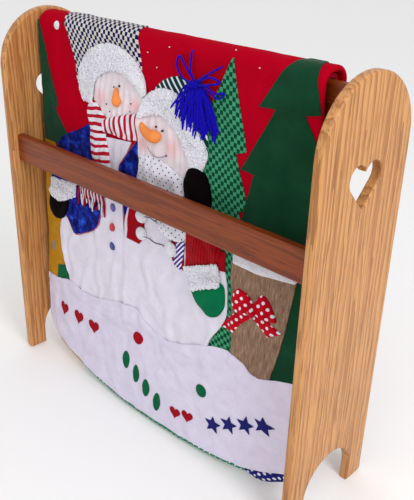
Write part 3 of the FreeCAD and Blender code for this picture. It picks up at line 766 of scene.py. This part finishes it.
# ------------------------------------------------------------- operators
class QUILT_OT_rack(bpy.types.Operator):
    """Finish the rack's boards and dowels in oak and beech"""
    bl_idname = "quilt.rack"
    bl_label = "Finish the Rack"

    def execute(self, context):
        finishes.update(make_materials())
        for node in ("left_end_panel", "right_end_panel"):
            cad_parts[node].data.materials[0] = finishes["oak_upright"]
        for node in ("top_rail", "front_rail", "back_rail"):
            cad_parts[node].data.materials[0] = finishes["oak_along_shaded"]
            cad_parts[node + "_dowels"].data.materials[0] = finishes["dowel"]
        return {"FINISHED"}


def padded_steps(length, count, radius):
    """Places along a length: fine steps within radius of both ends, even ones between."""
    rim = radius * (1 - np.cos(np.linspace(0, math.pi / 2, 6)))
    middle = np.linspace(radius, length - radius, count)
    return np.concatenate([rim[:-1], middle, (length - rim[:-1])[::-1]])


def quilt_layer(name, front, thick, inset, lift_hem, material, slot, replaces, count):
    """One padded thickness of the folded quilt: a closed shell whose faces meet in a rounded
    edge. Half its thickness times a quarter circle of the distance from the edge."""
    half = thick / 2
    across = padded_steps(2 * (HALF_WIDTH - inset), count[0], half) - HALF_WIDTH + inset
    low = hem(across) + lift_hem
    share = padded_steps(BACK_EDGE - lift_hem, count[1], half) / (BACK_EDGE - lift_hem)
    x = np.broadcast_to(across[:, None], (len(across), len(share)))
    v = low[:, None] + (BACK_EDGE - lift_hem - low)[:, None] * share
    side = np.minimum(across + HALF_WIDTH - inset, HALF_WIDTH - inset - across)[:, None]
    end = np.minimum(v - low[:, None], BACK_EDGE - lift_hem - v)
    near = np.minimum(side, end).clip(0, half) / half
    round_off = np.sqrt(1 - (1 - near) ** 2)
    swell = dents(x, v)
    top = front - half + half * round_off + swell
    under = front - half - half * round_off + 0.3 * swell
    return shell(name, x, v, top, under, material, slot, replaces)


def border_strip(name, left, right, low, material, slot, node):
    """A length of border: from the hem's front, round under both layers and up behind them. The
    profile is a closed loop of (lift, height) carried along x."""
    x = np.linspace(left, right, 70)
    bottom = curve(low, True)(np.linspace(0, 1, 300))
    base = np.interp(x, bottom[:, 0], bottom[:, 1])
    front = np.maximum(hem(x) - base, 4) + 1
    behind = np.maximum(74 - base, 12)
    profile = np.array([(-2.0, 1.0, 0), (-0.8, 0.5, 0), (-2.5, 0.12, 0), (-8, 0.0, 0), (-18, 0.0, 0),
                        (-25.5, 0.3, 0), (-27.8, 0.25, 1), (-27.8, 0.93, 1), (-26, 1.0, 1), (-23, 0.96, 1),
                        (-22.4, 0.3, 1), (-22.2, 1.0, 0)])
    reach = np.where(profile[:, 2] > 0, behind[:, None], front[:, None])
    v = base[:, None] + profile[:, 1] * reach
    lift = profile[:, 0] + 0.5 * waves(x, x * 0, 60, 8)[:, None]
    wide = np.broadcast_to(x[:, None], v.shape)
    points = laid(wide, v, lift).reshape(-1, 3)
    number = np.arange(v.size).reshape(v.shape)
    wrap = np.concatenate([number, number[:, :1]], axis=1)
    caps = [number[:1, ::-1], number[-1:]]
    uv = cloth_uv(wide, v + lift)
    made = piece(name, points, [quads(wrap, True), *caps], uv, material, slot, node)
    return made


class QUILT_OT_layers(bpy.types.Operator):
    """Hang the folded quilt's two padded layers and turn its border under"""
    bl_idname = "quilt.layers"
    bl_label = "Hang the Quilt"

    def execute(self, context):
        outer = quilt_layer("quilt_outer", 0.0, 10.4, 0.0, 0.0, "sky", "quilt_cotton", "quilt_outer_layer",
                            (150, 250))
        inner = quilt_layer("quilt_inner", -11.4, 10.2, 8.0, 9.0, "lining", "quilt_lining",
                            "quilt_under_layer", (90, 190))
        loose_corner = [(302, 22), (315, 18), (332, 15), (350, 24), (380, 52)]
        fold = [(x, v - 9) for x, v in HEM]
        border_strip("border_gold_turned", -340, -216, fold, "gold", "gold_cotton", "border_gold")
        border_strip("border_green_turned", -214, 300, fold, "green_dot", "green_cotton", "border_green")
        border_strip("border_navy_turned", 302, 370, loose_corner, "navy_dot", "navy_cotton", "border_navy")
        return {"FINISHED"}


class QUILT_OT_snow_scene(bpy.types.Operator):
    """Lay the trees and the patches at the quilt's left edge"""
    bl_idname = "quilt.snow_scene"
    bl_label = "Lay the Trees"

    def execute(self, context):
        plan = between([(-371, 537), (-371, 792)],
                       [(-297, 537), (-272, 565), (-314, 614), (-303, 622), (-332, 690),
                        (-368, 792)], False)
        lay("tree_left", plan, 1.6, "tree", "green_cotton", grid=(30, 120), replaces="left_tree")
        plan = between([(185, 256), (225, 330), (207, 456), (150, 470), (118, 560), (118, 640), (187, 797)],
                       [(262, 250), (262, 440), (230, 545), (253, 548), (214, 642), (235, 650),
                        (189, 797)], False)
        lay("tree_checked", plan, 1.8, "check", "check_cotton", grid=(40, 220), replaces="checked_tree")
        plan = between([(300, 240), (290, 400), (262, 480), (230, 490), (258, 620), (228, 619), (292, 741),
                        (252, 729), (305, 812), (331, 872)],
                       [(371, 240), (371, 691), (345, 734), (371, 740), (354, 812), (334, 872)], False)
        lay("tree_plain", plan, 1.8, "tree", "green_cotton", grid=(40, 240), replaces="plain_tree")
        plan = between([(-371, 195), (-371, 537)], [(-305, 200), (-284, 263), (-290, 390), (-317, 537)])
        lay("patch_gold", plan, 1.5, "gold", "gold_cotton", grid=(24, 60), replaces="gold_patch")
        plan = between([(-319, 198), (-262, 215)], [(-313, 243), (-284, 252)])
        lay("patch_green", plan, 2.0, "felt_green", "green_cotton", grid=(16, 16), replaces="green_patch")
        plan = around(oval(-337, 284, 14, 26))
        lay("patch_button", plan, 3.0, "button_grey", "button_plastic", True, (10, 40), power=2.2,
            replaces="gold_patch_button")
        return {"FINISHED"}


def pleats(period, depth, seed):
    """Gathers that run up the cloth: a wave across x whose phase wanders with v."""
    def relief(x, v):
        drift = 0.9 * waves(x, v, 80, seed)
        return depth * np.sin(2 * math.pi * x / period + 3 * drift)
    return relief


def curls(x, v):
    """The fleece's lumpy pile."""
    return 0.5 * waves(x, v, 7, 21) + 0.6 * waves(x, v, 14, 22)


class QUILT_OT_tall_snowman(bpy.types.Operator):
    """Lay the tall snowman: body, coat, scarf, hat and face"""
    bl_idname = "quilt.tall_snowman"
    bl_label = "Lay the Tall Snowman"

    def execute(self, context):
        plan = between([(-250, 195), (-290, 285), (-300, 335), (-285, 380), (-200, 520), (-160, 590)],
                       [(-40, 195), (-55, 320), (-70, 440), (-70, 560), (-55, 600)])
        lay("tall_body", plan, 3.0, "body", "white_cotton", grid=(90, 120), edge=12,
            relief=pleats(52, 1.6, 31), replaces="tall_snowman_body")
        lapel = [(-50, 400), (-70, 470), (-85, 545), (-75, 560), (-40, 605)]
        plan = between(lapel, [(-45, 400), (-45, 440), (-20, 520), (-20, 545), (-30, 605)])
        lay("coat_right", plan, 2.0, "velvet", "blue_velvet", grid=(24, 70), replaces="jacket_right")
        coat_edge = [(-275, 390), (-235, 350), (-205, 360), (-155, 390), (-140, 420), (-135, 455)]
        plan = between([(-275, 385), (-260, 430), (-325, 445), (-330, 490), (-290, 555), (-220, 590),
                        (-195, 605)],
                       [*coat_edge[1:], (-135, 500), (-135, 575), (-155, 600)])
        lay("coat_left", plan, 2.5, "velvet", "blue_velvet", grid=(60, 120), edge=9,
            relief=pleats(44, 1.3, 33), replaces="jacket_left")
        k = np.linspace(0, 1, 70)
        lines = []
        for edge in (curve(coat_edge, True)(k), curve(lapel, True)(k)):
            lines.append(np.column_stack([edge, top_at(*edge.T) * 0.7 + 0.6]))
        strand_piece("coat_edge_stitch", lines, 1.3, "red_thread", "blue_velvet")
        plan = between([(-165, 485), (-160, 520), (-185, 575), (-185, 610)],
                       [(-118, 485), (-118, 550), (-140, 620)])
        lay("scarf_hanging", plan, 3.2, "scarf_down", "red_stripe", grid=(30, 70), power=3,
            relief=pleats(24, 1.0, 35), replaces="scarf_end")
        plan = between([(-215, 455), (-195, 495)], [(-132, 462), (-125, 500)])
        lay("scarf_lower", plan, 3.0, "scarf_down", "red_stripe", grid=(30, 20), power=3)
        hat = between([(-235, 690), (-238, 720), (-266, 778), (-290, 815), (-290, 870), (-262, 905)],
                      [(-34, 690), (-35, 750), (-58, 812), (-90, 875), (-130, 905)])
        lay("tall_hat", hat, 1.8, "hound", "houndstooth", grid=(60, 110), edge=8, relief=pleats(90, 0.6, 43),
            replaces="houndstooth_hat")
        face = around(oval(-98, 678, 166, 128, 6))
        lay("tall_face", face, 5.0, "tall_face", "white_cotton", True, (40, 160), power=2.8,
            relief=pleats(19, 1.4, 37), replaces="tall_snowman_face", fill=0.2)
        plan = around([(-190, 652), (-176, 660), (-125, 626), (-122, 610), (-182, 603), (-198, 632)])
        wrap = lay("scarf_wrap", plan, 5.0, "scarf_down", "red_stripe", True, (20, 80), power=2.6)
        plan = between([(-135, 603), (-65, 602), (-22, 610)], [(-140, 626), (-95, 643), (-22, 664)])
        band = lay("scarf_round_neck", plan, 5.0, "scarf", "red_stripe", grid=(34, 70), power=3,
                   relief=pleats(36, 1.0, 39), replaces="scarf_band")
        steps = np.linspace(0, 1, 14)
        rng = np.random.default_rng(41)
        start = np.linspace(-213, -130, 17)[:, None]
        drop = rng.uniform(26, 50, 17)[:, None]
        x = start + rng.uniform(-11, 5, 17)[:, None] * steps ** 1.5
        x = x + rng.uniform(-2, 2, 17)[:, None] * np.sin(5 * steps)
        v = 472 - drop * steps
        strands = np.stack([x, v, top_at(x, v) + 1.8], axis=-1)
        for k, tint in enumerate(("red", "white")):
            strand_piece(f"scarf_tassels_{tint}", strands[k::2], 2.0, f"fringe_{tint}", "wool_yarn",
                         "scarf_fringe")
        brim = between(oval(-97, 668, 156, 118, 0, 195, 25), oval(-120, 692, 208, 166, 0, 208, 5))
        lay("tall_brim", brim, 8.0, "fleece", "white_fleece", grid=(46, 150), power=2.3, relief=curls,
            replaces="tall_hat_brim", fill=0.6)
        nubs("tall_brim_pile", brim, 2600, 45)
        snow_nose("tall_nose", [(-101, 697, 3), (-97, 684, 7), (-93, 672, 10), (-91, 664, 7.5)],
                  "tall_snowman_nose")
        spots = [(-107, 697), (-90, 702), (-128, 660), (-116, 648), (-54, 675), (-54, 660)]
        beads("tall_beads", spots, (1.6, 2.4, 1.5, 1.5, 1.5, 1.5), "tall_snowman_beads")
        for letter, v, tint in (("a", 452, "purple"), ("b", 409, "red"), ("c", 366, "navy")):
            lay(f"coat_button_{letter}", around(oval(-101, v, 18, 18)), 2.6, f"button_{tint}",
                "button_plastic", True, (14, 48), power=3, replaces="coat_buttons")
        hand = around(oval(-305, 400, 102, 72, 32))
        lay("tall_mitten", hand, 9.0, "black", "black_felt", True, (26, 90), power=2.3,
            replaces="tall_snowman_mitten", fill=0.7)
        cuff = between([(-340, 420), (-290, 412), (-232, 436)], [(-324, 457), (-285, 460), (-230, 467)])
        lay("tall_cuff", cuff, 6.0, "fleece", "white_fleece", grid=(30, 60), power=2.8, relief=curls,
            replaces="tall_snowman_cuff", fill=0.6)
        nubs("tall_cuff_pile", cuff, 620, 47)
        return {"FINISHED"}


NOSE_SEAT = 0.5


def snow_nose(name, spine, node):
    """A stuffed carrot nose: a round tube along a curved spine of (x, v, radius) points, closed
    at both ends, lying with its lower part in the face."""
    k = np.linspace(0, 1, 26)
    line = curve(spine, True)(k)
    radius = line[:, 2] * (1 - np.abs(2 * k - 1) ** 8 * 0.75)
    place = line[:, 0], line[:, 1]
    lift = bed(*place).mean() + radius * NOSE_SEAT + dents(*place).mean() - 1.5
    lines = np.stack([line[:, 0], line[:, 1], lift], axis=-1)[None]
    piece(name, *tube(lines, radius[None], 24), "orange", "orange_cotton", node)


def beads(name, spots, radii, node):
    """Small glass beads: one squat ball at each spot, all in one piece."""
    rows, columns = 7, 12
    a = np.linspace(0, math.pi, rows)[:, None]
    b = np.arange(columns) * 2 * math.pi / columns
    points, faces, uv = [], [], []
    start = 0
    for (x, v), radius in zip(spots, radii):
        across = x + radius * np.sin(a) * np.cos(b)
        up = v + radius * np.sin(a) * np.sin(b)
        lift = float(top_at(x, v)) + radius * 0.6 + radius * np.cos(a) + 0 * b
        points.append(laid(across, up, lift).reshape(-1, 3))
        uv.append(cloth_uv(across, up))
        grid = np.arange(rows * columns).reshape(rows, columns)
        grid = np.concatenate([grid, grid[:, :1]], axis=1) + start
        grid[0] = grid[0, 0]
        grid[-1] = grid[-1, 0]
        top = np.stack([grid[0, :-1], grid[1, :-1], grid[1, 1:]], axis=-1)
        low = np.stack([grid[-2, :-1], grid[-1, :-1], grid[-2, 1:]], axis=-1)
        faces.extend([top, quads(grid[1:-1]), low])
        start += rows * columns
    return piece(name, np.concatenate(points), faces, np.concatenate(uv), "bead", "black_felt", node)


class QUILT_OT_round_snowman(bpy.types.Operator):
    """Lay the round snowman: body, vest, kerchief, face, hat and tassel"""
    bl_idname = "quilt.round_snowman"
    bl_label = "Lay the Round Snowman"

    def execute(self, context):
        plan = between([(-50, 215), (-62, 400), (-45, 500), (-25, 560)],
                       [(192, 215), (190, 262), (225, 335), (216, 418), (180, 480), (110, 560)])
        lay("round_body", plan, 3.0, "body", "white_cotton", grid=(90, 120), edge=14,
            relief=pleats(60, 1.6, 51), replaces="round_snowman_body")
        plan = between([(-50, 404), (-45, 468), (-30, 500)], [(-17, 400), (-4, 420), (-8, 500)])
        lay("vest_left", plan, 1.8, "red", "red_corduroy", grid=(20, 40), replaces="red_vest")
        plan = between([(84, 402), (78, 442)], [(118, 390), (110, 448)])
        lay("vest_right", plan, 1.8, "red", "red_corduroy", grid=(16, 24))
        plan = between([(192, 420), (192, 460)], [(216, 424), (212, 460)])
        lay("vest_back", plan, 1.5, "red", "red_corduroy", grid=(14, 20))
        plan = between([(90, 394), (94, 446)], [(110, 388), (116, 448)])
        lay("vest_ribbon", plan, 1.2, "ribbon", "navy_cotton", grid=(14, 24))
        face = around([(-32, 660), (20, 678), (78, 648), (118, 585), (76, 556), (-25, 570), (-33, 620)])
        lay("face_round", face, 6.0, "round_face", "white_cotton", True, (40, 160), power=2.6,
            relief=pleats(22, 1.3, 53), replaces="round_snowman_face", fill=0.2)
        plan = between([(-26, 500), (30, 462), (60, 450), (104, 470)],
                       [(-25, 583), (20, 590), (60, 582), (100, 566)])
        folded = lay("kerchief_folded", plan, 4.0, "kerchief", "dotted_white", grid=(34, 60), power=3.2,
                     relief=pleats(34, 1.4, 55), replaces="kerchief")
        plan = between([(42, 449), (44, 480)], [(84, 446), (84, 482)])
        lay("kerchief_end_a", plan, 3.0, "kerchief", "dotted_white", grid=(16, 18), power=3)
        plan = around([(42, 455), (60, 473), (116, 476), (112, 451), (80, 443)])
        lay("kerchief_end_b", plan, 5.0, "kerchief", "dotted_white", True, (16, 60), power=3, fill=0.1)
        plan = between([(-5, 700), (28, 700), (62, 688), (138, 632)],
                       [(-2, 708), (25, 732), (72, 746), (122, 716), (150, 640)])
        lay("hat_striped", plan, 2.5, "stripe_hat", "striped_cotton", grid=(30, 60), edge=8,
            replaces="striped_hat")
        brim = between([(-28, 655), (28, 670), (70, 652), (105, 612), (120, 587)],
                       [(-26, 662), (-16, 694), (20, 716), (64, 716), (112, 673), (150, 625), (139, 588)])
        lay("round_brim", brim, 8.0, "fleece", "white_fleece", grid=(44, 150), power=2.3, relief=curls,
            replaces="round_hat_brim", fill=0.6)
        nubs("round_brim_pile", brim, 2300, 57)
        snow_nose("round_nose", [(-22, 648, 4.5), (-12, 636, 8), (8, 629, 11), (24, 630, 12), (34, 634, 8)],
                  "round_snowman_nose")
        beads("round_beads", [(19, 647), (36, 643), (53, 600)], (2.2, 2.5, 1.4), "round_snowman_beads")
        smile = oval(26, 612, 58, 40, 0, 200, 335)
        smile = np.column_stack([smile, top_at(*smile.T) + 0.6])
        strand_piece("smile_stitch", [smile], 0.6, "smile", "black_felt")
        hand = around(oval(135, 550, 68, 96, 15))
        lay("round_mitten", hand, 9.0, "black", "black_felt", True, (26, 90), power=2.2,
            replaces="round_snowman_mitten", fill=0.7)
        sleeve = between([(120, 396), (118, 458), (112, 502)], [(190, 422), (202, 458), (190, 502)])
        lay("sleeve_red", sleeve, 8.0, "corduroy", "red_corduroy", grid=(40, 50), power=2.4,
            replaces="red_sleeve", fill=0.6)
        hand = around([(138, 362), (210, 398), (222, 362), (205, 328), (180, 324)])
        lay("mitten_green", hand, 9.0, "mitten", "green_cotton", True, (26, 90), power=2.2,
            replaces="green_mitten", fill=0.7)
        cuff = between([(137, 358), (210, 393)], [(119, 402), (198, 434)])
        lay("cuff_white", cuff, 6.0, "fleece", "white_fleece", grid=(30, 60), power=2.8, relief=curls,
            replaces="sleeve_cuff", fill=0.6)
        nubs("cuff_white_pile", cuff, 620, 59)
        for k, (x, v, radius) in enumerate(((-10, 462, 14), (-8, 426, 14), (80, 424, 16))):
            ball = around(oval(x, v, 2 * radius, 2 * radius))
            lay(f"pompom_{k}", ball, 10.0, "fleece", "white_fleece", True, (20, 60), power=2.0, relief=curls,
                replaces="vest_pompoms", fill=0.8)
        lines = []
        for line in ([(3, 466), (22, 467), (43, 464)], [(5, 425), (34, 420), (64, 424)]):
            points = curve(line, True)(np.linspace(0, 1, 24))
            lines.append(np.column_stack([points, top_at(*points.T) + 0.7]))
        strand_piece("vest_ties", lines, 0.9, "thread", "black_felt", "vest_cords")
        tassel(context.scene.quilt_sizes.yarn_count)
        return {"FINISHED"}


def tassel(count):
    """The hat's tassel: strands bound at one point that fall in a fan over the brim, with a few
    loops and ends that stand up and out. Each strand is a curve through three places."""
    rng = np.random.default_rng(71)
    steps = np.linspace(0, 1, 16)[None]
    spread_at = rng.beta(1.6, 1.6, count)
    end_x = 60 + 116 * spread_at + rng.normal(0, 3, count)
    end_v = 680 - 24 * spread_at + rng.uniform(-16, 18, count)
    start_x = 112 + rng.normal(0, 5, count)
    start_v = 744 + rng.normal(0, 2, count)
    bulge = (end_x - 112) * 0.2 + rng.normal(0, 3, count)
    x = start_x[:, None] * (1 - steps) + end_x[:, None] * steps + bulge[:, None] * np.sin(steps * math.pi)
    v = start_v[:, None] * (1 - steps) + end_v[:, None] * steps + 5 * np.sin(steps * math.pi)
    layer = rng.uniform(0.5, 7, count)[:, None]
    lift = top_at(x, v) + 1.5 + layer * np.sin(np.clip(steps * 1.1, 0, 1) * math.pi) ** 0.7
    falls = np.stack([x, v, np.minimum(lift, 34)], axis=-1)
    loose = [[(112, 745, 8), (90, 765, 8), (68, 783, 6), (64, 765, 6), (85, 746, 8), (108, 744, 8)],
             [(113, 745, 8), (100, 762, 8), (98, 780, 6), (96, 795, 4)],
             [(115, 745, 8), (140, 762, 7), (170, 780, 4)],
             [(116, 744, 8), (144, 758, 8), (170, 754, 6), (140, 744, 8), (118, 742, 8)],
             [(117, 740, 8), (140, 742, 8), (160, 734, 7), (182, 738, 5), (170, 727, 6), (136, 738, 8)],
             [(108, 740, 8), (84, 718, 8), (60, 690, 5)]]
    k = np.linspace(0, 1, 16)
    lines = []
    for points in loose:
        line = curve(points, True)(k)
        line[:, 2] += bed(line[:, 0], line[:, 1]) * 0.6
        lines.append(line)
    strands = np.concatenate([falls, np.array(lines)])
    strand_piece("hat_tassel", strands, 1.9, "yarn", "wool_yarn", "yarn_tassel")
    turn = np.linspace(0, 2 * math.pi, 16)
    rings = [np.stack([112 + 8 * np.cos(turn), 741 + h + 2 * np.sin(turn), 12 + 7 * np.sin(turn)], axis=-1)
             for h in (-3, 0, 3)]
    strand_piece("tassel_binding", rings, 2.0, "yarn", "wool_yarn")


class QUILT_OT_parcel(bpy.types.Operator):
    """Lay the burlap parcel with its cap and dotted bow"""
    bl_idname = "quilt.parcel"
    bl_label = "Lay the Parcel"

    def execute(self, context):
        plan = between([(246, 240), (238, 360), (227, 452)], [(332, 240), (346, 340), (356, 460)])
        lay("parcel_burlap", plan, 2.2, "burlap", "burlap", grid=(40, 60), relief=pleats(40, 0.6, 81),
            replaces="burlap_parcel")
        cap = between([(232, 448), (285, 446), (354, 454)], [(226, 474), (362, 474)])
        lay("parcel_fleece", cap, 6.0, "fleece", "white_fleece", grid=(20, 60), power=2.6, relief=curls,
            replaces="parcel_cap", fill=0.5)
        plan = between([(217, 314), (240, 348), (284, 378)], [(245, 309), (262, 336), (290, 362)])
        lay("bow_tail_left", plan, 3.5, "bow", "red_dotted", grid=(22, 36), power=3,
            relief=pleats(20, 0.9, 83), replaces="parcel_bow")
        plan = between([(286, 362), (322, 333)], [(292, 384), (345, 352)])
        lay("bow_tail_right", plan, 3.5, "bow", "red_dotted", grid=(22, 36), power=3,
            relief=pleats(20, 0.9, 84))
        for name, outline in (("bow_loop_left", [(238, 388), (254, 406), (294, 376), (268, 359), (243, 364)]),
                              ("bow_loop_right", [(302, 411), (318, 406), (335, 370), (288, 376)])):
            lay(name, around(outline), 7.0, "bow", "red_dotted", True, (24, 80), power=2.3,
                relief=pleats(22, 1.2, 85), fill=0.3)
        plan = around(oval(290, 374, 18, 18))
        lay("bow_knot", plan, 4.0, "bow", "red_dotted", True, (16, 50), power=2.2, fill=0.5)
        return {"FINISHED"}


def row(start, end, count, size):
    """Evenly spaced places from start to end, each with the size of what is sewn there."""
    return [(x, v, size) for x, v in np.linspace(start, end, count)]


class QUILT_OT_snow_and_motifs(bpy.types.Operator):
    """Lay the snow over the snowmen's feet and sew on the small felt shapes"""
    bl_idname = "quilt.snow_and_motifs"
    bl_label = "Lay Snow and Motifs"

    def execute(self, context):
        k = np.linspace(-371, 371, 40)
        edge = [(-372, 205), (-317, 208), (-255, 224), (-177, 220), (-17, 256), (25, 231), (90, 226),
                (213, 266), (258, 266), (308, 245), (372, 268)]
        lower = [(x, v) for x, v in zip(k, hem(k) + 0.8)]
        top = curve(edge, True)(np.linspace(0, 1, 400))
        upper = [(x, v) for x, v in zip(k, np.interp(k, top[:, 0], top[:, 1]))]
        plan = between(lower, upper, False)
        lay("snow", plan, 1.8, "snow", "white_cotton", grid=(70, 260), edge=4, relief=pleats(95, 1.1, 91),
            replaces="snow_ground")
        hearts = [*row((-287, 138), (-162, 146), 3, 37), *row((118, 68), (152, 76), 2, 30)]
        turn = np.linspace(0, 2 * math.pi, 48, endpoint=False)
        rise = 13 * np.cos(turn) - 5 * np.cos(2 * turn) - 2 * np.cos(3 * turn) - np.cos(4 * turn)
        heart = np.stack([16 * np.sin(turn) ** 3, rise], axis=-1) / 33
        leaf = np.stack([0.25 * np.sin(turn), 0.5 * np.cos(turn) * np.abs(np.cos(turn)) ** 0.3], axis=-1)
        corner = np.arange(10)
        reach = np.where(corner % 2 == 0, 0.5, 1 / 4.4)
        angle = math.pi / 2 + corner * math.pi / 5
        star = np.stack([reach * np.cos(angle), reach * np.sin(angle)], axis=-1)
        leaves = row((-42, 118), (62, 64), 4, 43)
        stars = row((218, 91), (330, 146), 4, 40)
        rows = (("heart", heart, hearts, "red", "small_motifs_red", "red_corduroy"),
                ("leaf", leaf, leaves, "felt_green", "small_motifs_green", "green_cotton"),
                ("star", star, stars, "felt_navy", "small_motifs_navy", "navy_cotton"))
        for label, shape, places, finish, node, slot in rows:
            for k, (x, v, size) in enumerate(places):
                lay(f"{label}_{k}", around(shape * size + (x, v), False), 1.4, finish, slot, True, (12, 121),
                    power=9, replaces=node)
        for tint, x, v, finish, slot in (("red", -4, 190, "red", "red_corduroy"),
                                         ("green", 181, 152, "felt_green", "green_cotton")):
            lay(f"snow_dot_{tint}", around(oval(x, v, 28, 28)), 3.0, finish, slot, True, (16, 60), power=3,
                replaces="snow_dots")
        plan = around(oval(-306, 787, 18, 18))
        lay("sky_dot_white", plan, 2.6, "fleece", "burlap", True, (12, 40), power=2.4, replaces="sky_dot")
        specks = [(6, 752), (36, 792), (182, 812), (246, 790), (-20, 775)]
        made = beads("sky_specks", specks, [1.2] * len(specks), "sky_dot")
        made.data.materials[0] = finishes["fleece"]
        return {"FINISHED"}


class QUILT_OT_stage(bpy.types.Operator):
    """Set the pale floor, the soft lights and the camera"""
    bl_idname = "quilt.stage"
    bl_label = "Set the Stage"

    def execute(self, context):
        scene = context.scene
        floor = bpy.data.meshes.new("studio_floor")
        floor.from_pydata([(-9, -9, 0), (9, -9, 0), (9, 9, 0), (-9, 9, 0)], [], [(0, 1, 2, 3)])
        ground_plane = bpy.data.objects.new("studio_floor", floor)
        scene.collection.objects.link(ground_plane)
        material, tree, shader = blank("Pale Studio Paper")
        shader.inputs["Base Color"].default_value = flat(0xF6F6F6)
        shader.inputs["Roughness"].default_value = 0.9
        floor.materials.append(material)
        world = bpy.data.worlds.new("soft_room")
        world.use_nodes = True
        world.node_tree.nodes["Background"].inputs[0].default_value = (1.0, 1.0, 1.0, 1.0)
        world.node_tree.nodes["Background"].inputs[1].default_value = 0.85
        scene.world = world
        lamps = (("key", (2.9, -0.7, 2.3), 1.2, 52), ("fill", (0.2, -3.0, 2.4), 2.4, 8))
        for name, place, size, power in lamps:
            lamp = bpy.data.lights.new(name, "AREA")
            lamp.size = size
            lamp.energy = power
            holder = bpy.data.objects.new(name, lamp)
            holder.location = place
            holder.rotation_euler = (Vector((0, 0, 0.45)) - Vector(place)).to_track_quat("-Z", "Y").to_euler()
            scene.collection.objects.link(holder)
        lens = bpy.data.cameras.new("view")
        lens.sensor_width = 36.0
        lens.lens = 51.8
        eye = bpy.data.objects.new("view", lens)
        turn, rise, roll = 0.765, 0.4525, 0.0282
        back = Vector((math.sin(turn) * math.cos(rise), -math.cos(turn) * math.cos(rise), math.sin(rise)))
        right = Vector((0, 0, 1)).cross(back).normalized()
        up = back.cross(right)
        right, up = (right * math.cos(roll) + up * math.sin(roll),
                     up * math.cos(roll) - right * math.sin(roll))
        place = Matrix.Translation((0.9644, -0.9121, 1.0263))
        eye.matrix_world = place @ Matrix((right, up, back)).transposed().to_4x4()
        scene.collection.objects.link(eye)
        scene.camera = eye
        scene.view_settings.view_transform = "Standard"
        return {"FINISHED"}


class QUILT_PT_panel(bpy.types.Panel):
    """Sidebar panel that lists the sizes, the colours and the steps"""
    bl_idname = "QUILT_PT_panel"
    bl_label = "Quilt on a Rack"
    bl_space_type = "VIEW_3D"
    bl_region_type = "UI"
    bl_category = "Quilt"

    def draw(self, context):
        for group in (context.scene.quilt_sizes, context.scene.quilt_colours):
            for name in group.__annotations__:
                self.layout.prop(group, name)
        for step in STEPS:
            self.layout.operator(step.bl_idname)


STEPS = (QUILT_OT_stage, QUILT_OT_rack, QUILT_OT_layers, QUILT_OT_snow_scene, QUILT_OT_tall_snowman,
         QUILT_OT_round_snowman, QUILT_OT_parcel, QUILT_OT_snow_and_motifs)
CLASSES = (QuiltSizes, QuiltColours, *STEPS, QUILT_PT_panel)


def register():
    for each in CLASSES:
        bpy.utils.register_class(each)
    bpy.types.Scene.quilt_sizes = PointerProperty(type=QuiltSizes)
    bpy.types.Scene.quilt_colours = PointerProperty(type=QuiltColours)


def unregister():
    del bpy.types.Scene.quilt_colours
    del bpy.types.Scene.quilt_sizes
    for each in reversed(CLASSES):
        bpy.utils.unregister_class(each)


def main():
    register()
    for step in STEPS:
        group, name = step.bl_idname.split(".")
        getattr(getattr(bpy.ops, group), name)()


if __name__ == "__main__":
    main()
